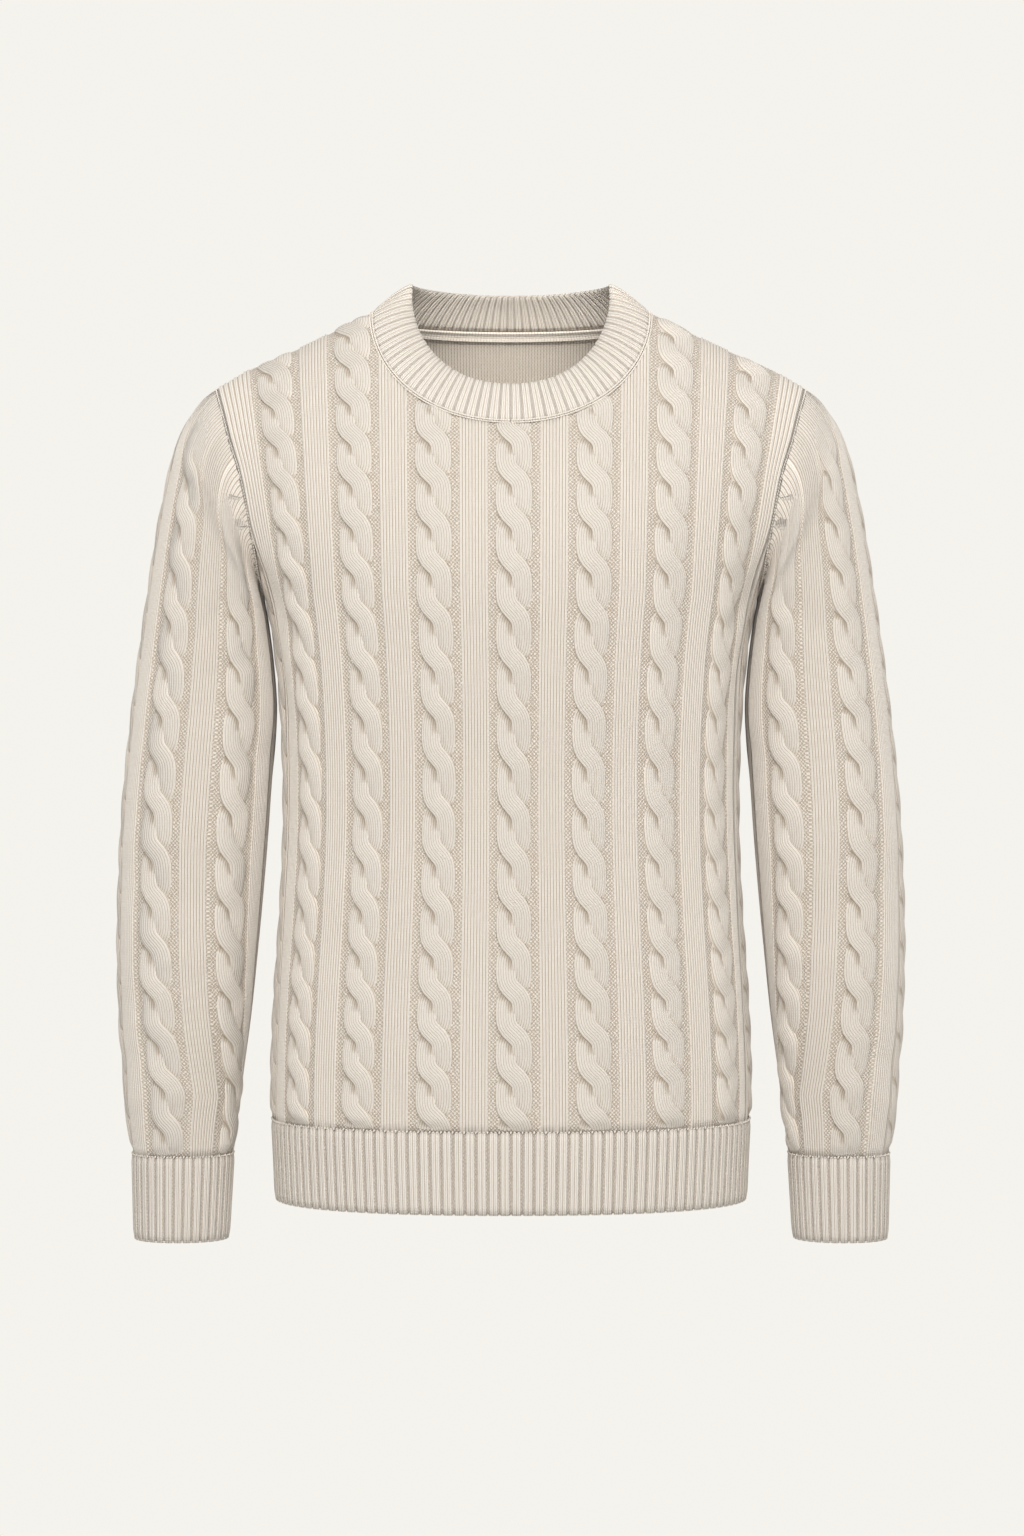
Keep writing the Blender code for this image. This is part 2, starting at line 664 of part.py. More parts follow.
def collarLoop(share):
    """Seam edge, way out, way up and upper edge, by share of the way round."""
    share = np.mod(share, 1.0)
    quarter = np.floor(share * 4).astype(int)
    within = share * 4 - quarter
    parts = [np.zeros((len(share), 3)) for _ in range(4)]
    for k, (side, sign) in enumerate([(-1, 1), (1, 1), (1, -1), (-1, -1)]):
        point, normal, off = neckLine(side)
        run = np.r_[0, np.cumsum(np.linalg.norm(np.diff(point, axis=0), axis=1))]
        turn = np.linspace(0, np.pi / 2, 120)
        edge = collarTop(turn, side)
        top = np.r_[0, np.cumsum(np.linalg.norm(np.diff(edge, axis=0), axis=1))]
        here = quarter == k
        amount = within[here] if k % 2 == 0 else 1 - within[here]
        for part, source, length in zip(parts, (point, normal, off, edge), (run,) * 3 + (top,)):
            at = amount * length[-1]
            value = np.stack([np.interp(at, length, source[:, c]) for c in range(3)], 1)
            value[:, 0] *= sign
            part[here] = value
    return parts


def collar():
    """The crew neck's rib band."""
    shell = Shell()
    stages = columns("stage raised", [(0, ribLow), (0.5, ribHigh), (1, 0.8)])
    skins = []
    for count, inside in ((2 * collarRibs, False), (44, True)):
        seam, normal, up, edge = collarLoop(np.arange(count) / count)
        foot = seam + up * seamGap
        span = np.linalg.norm(edge - foot, axis=1, keepdims=True)
        bulge = (normal * 0.6 + up * 0.5) * 0.32
        around = np.roll(foot, -1, 0) - np.roll(foot, 1, 0)
        lines = []
        for stage, raised in zip(*stages.values()):
            place = foot + (edge - foot) * stage + bulge * span * stage * (1 - stage)
            rise = (edge - foot) / span + bulge * (1 - 2 * stage)
            out = np.cross(around, rise) if stage else normal
            out = out / np.linalg.norm(out, axis=1, keepdims=True)
            rib = raised * (np.arange(count) % 2)
            lift = np.full(count, -wall) if inside else rib
            ids = shell.add(place + out * lift[:, None])
            keys = (np.arange(count + 1) / count).tolist()
            lines.append(list(zip(keys, ids + ids[:1])))
        ladder(shell, lines)
        skins.append(lines)
    for end in (0, -1):
        shell.strip(skins[1][end], skins[0][end])
    return shell


def neckTape():
    """The strip that covers the back neck seam on the inside."""
    shell = Shell()
    share = np.linspace(-0.58, 0.58, 15)
    seam, normal, up, _ = collarLoop(0.5 + share * 0.25)
    lines = []
    for down, deep in ((-0.9, 1.3), (-1.5, 2.7), (-6.5, 2.7), (-7.4, 1.3)):
        place = seam + up * down
        fixed = bodyPoint(place[:, 0], place[:, 2], 1)
        ids = shell.add(fixed - bodyNormal(fixed, 1) * (wall + deep))
        lines.append(list(zip(share.tolist(), ids)))
    ladder(shell, lines + lines[:1])
    for end in (0, -1):
        a, b, c, d = [line[end][1] for line in lines]
        shell.faces += [(a, b, c), (a, c, d)]
    return shell


def knit(name, colour):
    material = bpy.data.materials.new(name)
    material.use_nodes = True
    shader = material.node_tree.nodes["Principled BSDF"]
    shader.inputs["Base Color"].default_value = colour
    shader.inputs["Roughness"].default_value = 0.9
    return material


group = bpy.data.collections.new("cable_knit_sweater")
bpy.context.scene.collection.children.link(group)
yarn = knit("cream_knit", (0.78, 0.72, 0.63, 1))
ribYarn = knit("cream_rib", (0.76, 0.70, 0.61, 1))
tapeYarn = knit("cream_tape", (0.72, 0.66, 0.57, 1))

bodyPanel(-1).build("front_panel", yarn, group)
bodyPanel(1).build("back_panel", yarn, group)
sleeve(1).build("sleeve_right", yarn, group)
sleeve(-1).build("sleeve_left", yarn, group)
collar().build("neck_collar", ribYarn, group)
hemRib(-1).build("hem_rib_front", ribYarn, group)
hemRib(1).build("hem_rib_back", ribYarn, group)
cuff(1).build("cuff_right", ribYarn, group)
cuff(-1).build("cuff_left", ribYarn, group)
neckTape().build("neck_tape", tapeYarn, group)
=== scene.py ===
from functools import lru_cache, partial

import bmesh
import bpy
import numpy as np
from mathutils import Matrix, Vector


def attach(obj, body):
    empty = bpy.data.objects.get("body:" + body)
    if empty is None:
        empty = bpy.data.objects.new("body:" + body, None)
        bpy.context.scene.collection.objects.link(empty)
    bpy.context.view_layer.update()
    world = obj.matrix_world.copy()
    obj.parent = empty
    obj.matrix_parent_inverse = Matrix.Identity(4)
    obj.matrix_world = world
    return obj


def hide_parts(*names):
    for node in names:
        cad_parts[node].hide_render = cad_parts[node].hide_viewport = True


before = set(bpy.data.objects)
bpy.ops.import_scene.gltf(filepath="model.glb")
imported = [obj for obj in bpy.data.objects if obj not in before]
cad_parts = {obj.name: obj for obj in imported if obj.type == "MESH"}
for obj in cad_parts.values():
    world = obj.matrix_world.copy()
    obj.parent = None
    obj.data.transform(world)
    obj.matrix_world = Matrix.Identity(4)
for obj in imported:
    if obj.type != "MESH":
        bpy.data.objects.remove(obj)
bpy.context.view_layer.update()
print("frame loaded")

# The garment's form, which its solids share
seamGap = 0.34       # between two pieces at a seam
wall = 2.2           # plain knit, inner face to gutter floor
pitch = 57.0         # one cable, its two gutters and one rib panel
centreShift = 2.2    # the middle cable stands this far to +X
halfPanel = 247.0    # centre line to side seam, along the knit
edgeWale = 204.0     # the last wale that runs on up beside the armhole
fanWale = 188.0      # from here the wales fan out towards the armhole
power = 2.3          # roundness of the body's sections
chest = -222.0       # height of the underarm
panelFoot = -385.4   # the panels end at this level, over the hem rib
plainWale = 2.6      # a wale of the plain knit beside the patterned columns
courseHeight = 1.95


def columns(names, rows):
    return dict(zip(names.split(), np.array(rows, float).T))


body = columns("height halfWidth front back", [
    (-680, 175.0, 128, 125), (-640, 176.5, 131, 127), (-608, 178.0, 132, 127),
    (-580, 178.5, 131, 126), (-520, 176.5, 128, 123), (-450, 171.8, 123, 118),
    (-400, 169.5, 120, 115), (-340, 169.8, 119, 114), (-290, 172.5, 121, 116),
    (-250, 177.0, 123, 119), (-222, 182.5, 124, 121), (-200, 192.0, 123, 123),
    (-170, 206.0, 120, 124), (-140, 218.0, 115, 124), (-100, 229.0, 105, 121),
    (-60, 237.0, 98, 116), (0, 243.0, 92, 108), (40, 246.0, 90, 104)])
shoulder = columns("across height", [
    (0, 27), (40, 21), (75, 8), (104, -5.5), (120, -13), (146, -26.5),
    (180, -41.5), (197, -49), (209, -56), (221, -63), (240, -76)])
armhole = columns("height across", [
    (-222, 182.5), (-205, 186.5), (-190, 188.5), (-155, 194), (-127, 200),
    (-103, 208), (-82, 214), (-64, 220), (-50, 225)])
crossing = columns("number level", [
    (-3.7, 240), (0, 121), (3, 23), (5, -45.6), (8, -151.4), (11, -253),
    (15, -374.6), (15.5, -390)])
neckHalf, neckDrop, neckPower, backDrop = 104.0, 89.0, 2.1, 6.0


def smooth(table, name, at):
    keys = table[list(table)[0]]
    values = table[name]
    slope = np.gradient(values, keys)
    at = np.clip(at, keys[0], keys[-1])
    i = np.clip(np.searchsorted(keys, at, side="right") - 1, 0, len(keys) - 2)
    step = keys[i + 1] - keys[i]
    t = (at - keys[i]) / step
    rise = (1 + 2 * t) * (1 - t) ** 2 * values[i] + t * t * (3 - 2 * t) * values[i + 1]
    return rise + step * t * (1 - t) * ((1 - t) * slope[i] - t * slope[i + 1])


def ramp(value, low, high):
    t = np.clip((value - low) / (high - low), 0, 1)
    return t * t * (3 - 2 * t)


def unit(vectors):
    return vectors / np.maximum(np.linalg.norm(vectors, axis=-1, keepdims=True), 1e-9)


def lengths(line):
    return np.r_[0, np.cumsum(np.linalg.norm(np.diff(line, axis=0), axis=1))]


def along(at, run, line):
    return np.stack([np.interp(at, run, line[:, k]) for k in range(line.shape[1])], 1)


def climb(across, height):     # 0 at the underarm, 1 at the shoulder line
    top = smooth(shoulder, "height", np.abs(across))
    return np.clip((height - chest) / (top - chest), 0, 1)


def sectionSize(z, side):      # half the body's width, and its depth to the front or the back
    return smooth(body, "halfWidth", z), smooth(body, "front" if side < 0 else "back", z)


def bodyField(x, y, z, side):
    width, depth = sectionSize(z, side)
    shut = 1 - climb(x, z) ** power
    return shut * ((np.abs(x) / width) ** power - 1) + (np.abs(y) / depth) ** power


def bodyNormal(point, side):
    steps = 0.02 * np.eye(3)
    rise = np.stack([bodyField(*(point + step).T, side) - bodyField(*(point - step).T, side)
                     for step in steps], 1)
    rise[:, 1] = np.where(np.abs(point[:, 1]) < 0.4, 0, rise[:, 1])
    return unit(rise)


def bodyPoint(x, z, side):
    width, depth = sectionSize(z, side)
    reach = np.clip(1 - (np.abs(x) / width) ** power, 0, 1)
    shut = np.clip(1 - climb(x, z) ** power, 0, 1)
    y = side * (seamGap / 2 + depth * (reach * shut) ** (1 / power))
    return np.stack([x, y, z], 1)


def sectionTurns(side):        # turn of the body's section by height and share of its length
    heights = np.linspace(-680, chest, 58)
    turn = np.linspace(0, np.pi / 2, 700)
    shares = np.linspace(0, 1, 201)
    grid = []
    for height in heights:
        width, depth = sectionSize(height, side)
        run = lengths(np.stack([width * np.sin(turn) ** (2 / power),
                                depth * np.cos(turn) ** (2 / power)], 1))
        grid.append(np.interp(shares, run / run[-1], turn))
    return heights, shares, np.array(grid)


def cells(at, keys):           # cell and place in it, for a table read between its keys
    i = np.clip(np.searchsorted(keys, at, side="right") - 1, 0, len(keys) - 2)
    return i, (at - keys[i]) / (keys[i + 1] - keys[i])


def between(grid, rowKeys, colKeys, row, col):
    i, r = cells(row, rowKeys)
    j, c = cells(col, colKeys)
    if grid.ndim > 2:
        r, c = r[:, None], c[:, None]
    return ((1 - r) * ((1 - c) * grid[i, j] + c * grid[i, j + 1])
            + r * ((1 - c) * grid[i + 1, j] + c * grid[i + 1, j + 1]))


turns = {side: sectionTurns(side) for side in (-1, 1)}


def lowPoint(wale, z, side):   # a point at or below the underarm
    heights, shares, grid = turns[side]
    share = np.abs(wale) / halfPanel
    turn = between(grid, heights, shares, np.clip(z, heights[0], chest), np.clip(share, 0, 1))
    turn = np.where(share >= 0.9999, np.pi / 2, turn)
    width, depth = sectionSize(z, side)
    x = np.sign(wale) * width * np.sin(turn) ** (2 / power)
    y = side * (seamGap / 2 + depth * np.maximum(np.cos(turn), 0) ** (2 / power))
    return np.stack([x, y, z], 1)


def cutHeight(wale):           # where a wale beyond the edge wale is cut off by the armhole
    share = np.clip((abs(wale) - edgeWale) / (halfPanel - edgeWale), 0, 1)
    return chest + 57 * (1 - share) ** 1.6


def acrossAt(size, z, side):   # distance from the centre line above the underarm
    start = abs(lowPoint(np.array([size]), np.array([chest]), side)[0, 0])
    if size > edgeWale:
        end = cutHeight(size)
        share = np.clip((z - chest) / max(end - chest, 0.01), 0, 1)
        return start + (smooth(armhole, "across", end) - start) * share
    share = np.clip((z - chest) / (-50 - chest), 0, 1.2)
    x = start + (size * 1.04 - start) * share
    if size > fanWale:
        first = abs(lowPoint(np.array([edgeWale]), np.array([chest]), side)[0, 0])
        end = cutHeight(edgeWale)
        rise = np.clip((z - chest) / (end - chest), 0, 1)
        edge = first + (smooth(armhole, "across", end) - first) * rise
        edge = np.where(z > end, smooth(armhole, "across", z), edge)
        plain = first + (edgeWale * 1.04 - first) * share
        x = x + (edge - plain) * ((size - fanWale) / (edgeWale - fanWale)) ** 1.4
    return x


def neckHeight(x, side):
    reach = np.clip(1 - (np.abs(x) / neckHalf) ** neckPower, 0, 1) ** (1 / neckPower)
    return -5.5 - (neckDrop if side < 0 else backDrop) * reach


highLevels = np.arange(0, 301, 4.0)     # levels above the underarm, for the tables


def walePath(size, side):      # a wale from the underarm up: its points by level, and its top
    end = cutHeight(size) if size > edgeWale else -20.0
    if size <= edgeWale:
        for _ in range(40):
            x = float(acrossAt(size, np.array([end]), side)[0])
            end += 0.6 * (float(smooth(shoulder, "height", x)) - end)
    z = chest + (end - chest) * np.sin(np.linspace(0, np.pi / 2, 110))
    x = acrossAt(size, z, side)
    point = bodyPoint(x, z, side)
    run = lengths(point)
    stop = run[-1]
    if size <= edgeWale and x[-1] < neckHalf + 3:
        below = neckHeight(x, side) - z
        cut = np.argmax(below < 0) if (below < 0).any() else len(z) - 1
        if x[cut] < neckHalf and cut > 0:
            part = below[cut - 1] / (below[cut - 1] - below[cut])
            stop = run[cut - 1] + part * (run[cut] - run[cut - 1])
    on = (point[-1] - point[-2]) / max(run[-1] - run[-2], 1e-6)
    grid = along(highLevels, run, point)
    past = np.maximum(highLevels - run[-1], 0)[:, None]
    return grid + past * on, stop


@lru_cache(maxsize=None)
def highGrids(side):
    inner = np.r_[np.arange(0, fanWale, 3.0), np.arange(fanWale, edgeWale, 1.0), edgeWale]
    outer = np.r_[edgeWale + 0.01, np.arange(edgeWale + 2, halfPanel, 2.0), halfPanel]
    result = []
    for wales in (inner, outer):
        paths = [walePath(float(w), side) for w in wales]
        result += [wales, np.array([p[0] for p in paths])]
    fine = np.arange(0, halfPanel + 0.1, 0.5)
    tops = np.array([walePath(float(w), side)[1] for w in fine])
    return result + [fine, tops]


def topLevel(wale, side):      # where a wale ends at the neck, the shoulder or the armhole
    grids = highGrids(side)
    return np.interp(np.abs(wale), grids[4], grids[5])


# Soft creases on the body: where they lie on the knit, how they run, and how deep.
bodyCreases = columns("wale level angle long wide deep", [
    (196, 12, 62, 44, 9, -1.6), (182, -18, 48, 36, 8, -1.0), (205, -52, 74, 40, 10, -1.3),
    (188, -96, 82, 52, 12, -0.9), (208, -188, 84, 60, 12, 1.1), (214, -300, 88, 48, 11, -1.0),
    (-198, 10, -60, 42, 9, -1.5), (-184, -24, -50, 34, 8, -1.0), (-207, -60, -76, 44, 10, -1.3),
    (-192, -118, -84, 56, 12, -0.8), (-209, -210, -86, 58, 12, 1.0), (-212, -318, -88, 46, 11, -0.9)])


def creaseDepth(table, wale, level):
    total = np.zeros(len(wale))
    for middle, height, angle, far, wide, deep in zip(*table.values()):
        turn = np.radians(angle)
        u, v = wale - middle, level - height
        a = (u * np.cos(turn) + v * np.sin(turn)) / far
        c = (v * np.cos(turn) - u * np.sin(turn)) / wide
        total += deep * np.exp(-a * a - c * c)
    return total


def bodySurface(wale, level, side):
    # points on the gutter floor and the way out, by wale and by level above the underarm
    wales1, grid1, wales2, grid2 = highGrids(side)[:4]
    size = np.abs(wale)
    low = lowPoint(wale, np.minimum(level, 0) + chest, side)
    up = np.clip(level, 0, highLevels[-1])
    near = between(grid1, wales1, highLevels, np.clip(size, 0, edgeWale), up)
    far = between(grid2, wales2, highLevels, np.clip(size, wales2[0], halfPanel), up)
    high = np.where((size > edgeWale)[:, None], far, near)
    high[:, 0] *= np.sign(wale)
    point = np.where(level[:, None] < 0, low, high)
    out = bodyNormal(point, side)
    return point + out * creaseDepth(bodyCreases, wale, level)[:, None], out


crossingLevel = partial(smooth, crossing, "level")


def placed(name, data):
    item = bpy.data.objects.new(name, data)
    bpy.context.scene.collection.objects.link(item)
    return item


def attribute(mesh, label, values):
    values = np.array(values, float)
    kind, key = ("FLOAT_VECTOR", "vector") if values.ndim > 1 else ("FLOAT", "value")
    mesh.attributes.new(label, kind, "POINT").data.foreach_set(key, values.ravel())


class Shell:
    # collects points, triangles and what the knit's material reads from them

    def __init__(self):
        self.points = []
        self.faces = []
        self.uv = []
        # purl: purl stitches, whose humps and painted shade the material draws
        self.purl = []
        # deep: painted shadow on a strand beside the one on top
        self.deep = []
        self.weld = 0.0

    def add(self, points, uv, purl=0.0, deep=0.0):
        start = len(self.purl)
        self.points.append(np.asarray(points, float))
        self.uv.append(np.asarray(uv, float))
        for values, more in ((self.purl, purl), (self.deep, deep)):
            values.extend((np.zeros(len(points)) + more).tolist())
        return list(range(start, len(self.purl)))

    def strip(self, first, second):   # two lines of (key, point) pairs in rising order
        i = j = 0
        while i < len(first) - 1 or j < len(second) - 1:
            ahead = first[i + 1][0] if i < len(first) - 1 else np.inf
            other = second[j + 1][0] if j < len(second) - 1 else np.inf
            if other < ahead + 1e-9:
                face = (first[i][1], second[j][1], second[j + 1][1])
                j += 1
            else:
                face = (first[i][1], second[j][1], first[i + 1][1])
                i += 1
            if len(set(face)) == 3:
                self.faces.append(face)

    def sheetOf(self, ids, loop=False):   # quads over a grid of point numbers
        ids = np.asarray(ids)
        if loop:
            ids = np.vstack([ids, ids[:1]])
        a, b, c, d = ids[:-1, :-1], ids[:-1, 1:], ids[1:, 1:], ids[1:, :-1]
        self.faces.extend(np.stack([a, d, c, b], -1).reshape(-1, 4).tolist())

    def cap(self, ids):
        self.faces.append([int(i) for i in ids])

    def build(self, name, material):
        points = np.concatenate(self.points) * 0.001
        mesh = bpy.data.meshes.new(name)
        mesh.from_pydata(points.tolist(), [], self.faces)
        uv = np.concatenate(self.uv)
        corner = np.zeros(len(mesh.loops), int)
        mesh.loops.foreach_get("vertex_index", corner)
        mesh.uv_layers.new(name="stitches").data.foreach_set("uv", uv[corner].ravel())
        attribute(mesh, "purl", self.purl)
        attribute(mesh, "deep", self.deep)
        work = bmesh.new()
        work.from_mesh(mesh)
        if self.weld:
            bmesh.ops.remove_doubles(work, verts=work.verts, dist=self.weld * 0.001)
        bmesh.ops.recalc_face_normals(work, faces=work.faces)
        if work.calc_volume(signed=True) < 0:
            bmesh.ops.reverse_faces(work, faces=work.faces)
        work.to_mesh(mesh)
        work.free()
        mesh.shade_smooth()
        mesh.materials.append(material)
        return placed(name, mesh)


yarn = {
    "light": (0.915, 0.856, 0.782, 1),
    "shade": (0.43, 0.34, 0.252, 1),
    "sheen": 0.2,
    "gutter": 0.16,        # painted shade over the purl ground
    "pores": 0.75,         # and painted shade in the holes in it
    "under": 0.95,         # painted shadow where a strand comes out from under the other
    "hair": 0.30,
    "patches": 0.10,       # how uneven the yarn's colour is from place to place
}
# Painted shade between two wales and where that starts, painted shade between a stitch's
# legs, how far the stitches stand up in mm, and how much of that is from row to row: for the
# panels, the cables, the rib bands and the tape
knits = columns("lines start legs bump course", [
    (0.85, 0.22, 0.05, 0.5, 0.22), (0.62, 0.24, 0.06, 0.45, 0.25), (0.60, 0.24, 0.08, 0.6, 0.25),
    (0.40, 0.24, 0.10, 0.4, 0.6)])


def wire(tree, kind, inputs, **settings):     # a node with its settings and inputs
    node = tree.nodes.new(kind)
    for name, value in settings.items():
        setattr(node, name, value)
    for name, value in inputs.items():
        socket = node.inputs[name]
        if isinstance(value, bpy.types.NodeSocket):
            tree.links.new(value, socket)
        else:
            socket.default_value = value
    return node.outputs[0]


def startYarn(name):
    material = bpy.data.materials.new(name)
    material.use_nodes = True
    tree = material.node_tree

    def shade(kind, inputs, **settings):
        return wire(tree, "ShaderNode" + kind, inputs, **settings)

    return material, shade


def finishYarn(material, shade, dark, height, relief):
    # dark: 0 is the light yarn and 1 its shade. relief: mm for a height of 1
    shader = material.node_tree.nodes["Principled BSDF"]
    colour = shade("MixRGB", {"Fac": dark, "Color1": yarn["light"], "Color2": yarn["shade"]})
    bump = shade("Bump", {"Height": height, "Distance": 0.001 * relief, "Strength": 1.0})
    material.node_tree.links.new(colour, shader.inputs["Base Color"])
    material.node_tree.links.new(bump, shader.inputs["Normal"])
    for name, value in (("Roughness", 0.92), ("Sheen Weight", yarn["sheen"]),
                        ("Sheen Roughness", 0.5), ("Specular IOR Level", 0.2)):
        shader.inputs[name].default_value = value
    return material


def knitMaterial(name, knit):
    material, shade = startYarn(name)

    def maths(operation):
        return lambda *values: shade("Math", dict(enumerate(values)), operation=operation)

    plus, minus, times, cosine = map(maths, ("ADD", "SUBTRACT", "MULTIPLY", "COSINE"))

    def fade(value, low, high):
        inputs = {"Value": value, "From Min": low, "From Max": high}
        return shade("MapRange", inputs, interpolation_type="SMOOTHSTEP")

    def wave(value):
        return cosine(times(value, 6.2832))

    def noise(where, scale, detail):
        return shade("TexNoise", {"Vector": where, "Scale": scale, "Detail": detail})

    def waver(scale, amount):
        return times(minus(noise(uv, scale, 1.0), 0.5), amount)

    uv = shade("UVMap", {}, uv_map="stitches")
    parts = shade("SeparateXYZ", {"Vector": uv}).node.outputs
    wale, course = parts[0], parts[1]
    purl = shade("Attribute", {}, attribute_name="purl").node.outputs["Fac"]
    deep = shade("Attribute", {}, attribute_name="deep").node.outputs["Fac"]

    def mixed(plain, ground):
        return shade("Mix", {"Factor": purl, "A": plain, "B": ground})

    # each knit stitch is a V: two legs that lean to the middle of the wale
    aside = maths("ABSOLUTE")(minus(maths("FRACT")(wale), 0.5))
    leg = plus(times(wave(plus(course, times(aside, -1.3))), 0.5), 0.5)
    edge = fade(aside, 0.5, knit["start"])
    rows = plus(times(leg, knit["course"]), 1 - knit["course"])
    stitch = times(times(rows, fade(aside, 0.0, 0.14)), edge)

    # purl ground: small humps set like bricks, a little out of line, with holes between them
    across = plus(times(wale, 0.95), waver(0.9, 0.7))
    up = plus(times(course, 0.65), waver(1.3, 0.6))
    bead = times(wave(across), wave(up))
    hump = fade(bead, -0.45, 0.75)
    pore = fade(bead, 0.25, -0.6)

    coordinate = shade("TexCoord", {}).node.outputs["Object"]
    hair = noise(coordinate, 900.0, 3.0)
    patch = noise(coordinate, 14.0, 2.0)

    # painted shade in the grooves between two wales and between a stitch's legs
    line = times(minus(1.0, edge), knit["lines"])
    legs = times(minus(1.0, stitch), knit["legs"])
    # painted shade over the purl ground and in its holes
    dark = mixed(plus(line, legs), plus(times(pore, yarn["pores"]), yarn["gutter"]))
    # painted shadow where a strand comes out from under the other
    dark = plus(dark, times(deep, yarn["under"]))
    dark = plus(dark, times(minus(hair, 0.5), yarn["hair"]))
    dark = plus(dark, times(minus(patch, 0.5), yarn["patches"]))
    height = plus(mixed(stitch, times(hump, 1.5)), times(hair, 0.3))
    return finishYarn(material, shade, dark, height, knit["bump"])


def linkMaterial(name):
    material, shade = startYarn(name)
    coordinate = shade("TexCoord", {}).node.outputs["Object"]
    hair = shade("TexNoise", {"Vector": coordinate, "Scale": 1100.0, "Detail": 3.0})
    dark = shade("MapRange", {"Value": hair, "From Min": 0.35, "From Max": 0.75, "To Max": 0.35})
    return finishYarn(material, shade, dark, hair, 0.2)


creamPanel, creamCable, creamRib, creamTape = (
    knitMaterial("cream_%s_yarn" % word, {key: float(values[n]) for key, values in knits.items()})
    for n, word in enumerate(("panel", "cable", "rib", "tape")))
creamLink = linkMaterial("cream_link_yarn")
print("materials ready")

# The ground of a panel: gutters of purl stitches beside each cable, and ribs between
ribPanel = {
    "start": 18.3,      # from the cable's middle
    "wales": 9,
    "wale": 2.267,
    "valley": 0.45,     # lifts over the gutter floor
    "ridge": 1.3,
    "edgeRidge": 1.25,
}
gutterLifts = columns("offset lift", [
    (0, -1.1), (7, -1.1), (9.5, -0.5), (11.5, -0.1), (13.2, 0), (14.9, 0.05), (16.6, 0)])
stitchesInPitch = 23    # 9 in the rib panel, 14 under the cable and in its gutters


def groundColumns():
    # across one pitch, from the cable's middle: offset, lift, purl and stitch number
    rows = []
    under = (stitchesInPitch - ribPanel["wales"]) / (2 * ribPanel["start"])
    for offset, lift in zip(*gutterLifts.values()):
        rows += [(place, lift, 1.0, place * under - 7)
                 for place in dict.fromkeys((offset, -offset))]
    last = ribPanel["wales"]
    for k in range(last + 1):
        start = ribPanel["start"] + k * ribPanel["wale"]
        rows.append((start, 0.1, 0.7, k) if k in (0, last) else (start, ribPanel["valley"], 0.0, k))
        ridge = ribPanel["edgeRidge" if k in (0, last - 1) else "ridge"]
        rows += [(start + part * ribPanel["wale"], ridge, 0.0, k + part)
                 for part in (0.28, 0.72) if k < last]
    return rows


groundLines = groundColumns()


def panelWales():
    lines = {}
    for number in range(-5, 6):
        for offset, lift, purl, stitch in groundLines:
            wale = centreShift + number * pitch + offset
            if abs(wale) < edgeWale - 0.9 or edgeWale + 1.2 < abs(wale) < halfPanel - 1:
                lines[round(wale, 3)] = (wale, lift, purl, stitch + number * stitchesInPitch)
    for wale in (-halfPanel, -edgeWale, edgeWale, halfPanel):
        lines[wale] = (wale, 0.6, 0.0, (wale - centreShift) / plainWale)
    return [lines[key] for key in sorted(lines)]


outerStep, innerStep = 6.5, 10.0     # from row to row, on the knit's outer and inner face


def bodySkin(shell, lines, side, step, depth):
    # columns of points from the foot to the neck, shoulder or armhole, zipped side by side
    cols, border = [], []
    last = None
    for wale, lift, purl, stitch in lines:
        top = float(topLevel(wale, side))
        count = int((top - panelFoot) / step)
        levels = panelFoot + step * np.arange(count + 1)
        if top - levels[-1] < 0.4 * step and len(levels) > 2:
            levels = levels[:-1]
        levels = np.r_[levels, top]
        base, out = bodySurface(np.full(len(levels), wale), levels, side)
        room = top - levels
        if depth:
            raised = np.full(len(levels), lift - depth)
        else:
            neck = abs(base[-1, 0]) < neckHalf
            raised = lift * (0.25 + 0.75 * ramp(room, 0, 5)) if neck else lift + 0 * room
            if abs(wale) > fanWale:
                raised = raised * (0.4 + 0.6 * ramp(room, 0, 6))
            if lift < 0:
                raised = raised * ramp(levels, panelFoot + 1, panelFoot + 8)
                raised = raised if neck else raised * ramp(room, 4, 18)
            raised = raised * (0.55 + 0.45 * ramp(levels, panelFoot, panelFoot + 5))
        uv = np.stack([np.full(len(levels), stitch), levels / courseHeight], 1)
        ids = shell.add(base + out * raised[:, None], uv, purl)
        line = list(zip(levels.tolist(), ids))
        isEdge = abs(abs(wale) - edgeWale) < 0.01
        cut = int(np.argmax(levels > 52)) if isEdge else len(ids) - 1
        share = np.linspace(0, 0.5, len(ids) - cut) if isEdge else np.zeros(1)
        keys = wale + share * (1 if wale < 0 else -1)
        piece = list(zip(keys.tolist(), ids[cut:]))
        border += piece if wale < 0 else piece[::-1]
        if last:
            before, beforeCut, beforeWale = last
            shell.strip(before[:beforeCut + 1] if beforeWale > 0 else before,
                        line[:cut + 1] if wale < 0 else line)
        last = (line, cut, wale)
        cols.append(line)
    return cols, border


def bodyPanel(side):
    shell = Shell()
    inner = []
    plain = 2.2                # a wale of the plain inner face
    for k in range(-120, 121):
        wale = k * plain / 2 * (1 if side > 0 else 5)
        if abs(wale) < (108 if side > 0 else 200):
            inner.append((wale, 0.0 if k % 2 or side < 0 else 0.35, 0.3, wale / plain))
    reach = inner[-1][0]
    far = [*np.arange(reach + 6, edgeWale - 2, 6.0), edgeWale]
    far += [*np.arange(edgeWale + 6, halfPanel - 3, 6.0), halfPanel]
    inner += [(s * w, 0.0, 0.0, s * w / plain) for w in far for s in (-1, 1)]
    outCols, outBorder = bodySkin(shell, panelWales(), side, outerStep, 0)
    inCols, inBorder = bodySkin(shell, sorted(inner), side, innerStep, wall)
    shell.strip(inBorder, outBorder)
    shell.strip(inCols[0], outCols[0])
    shell.strip(outCols[-1], inCols[-1])
    places = np.concatenate(shell.points)[:, 0]
    shell.strip(*([(places[line[0][1]], line[0][1]) for line in cols] for cols in (outCols, inCols)))
    return shell


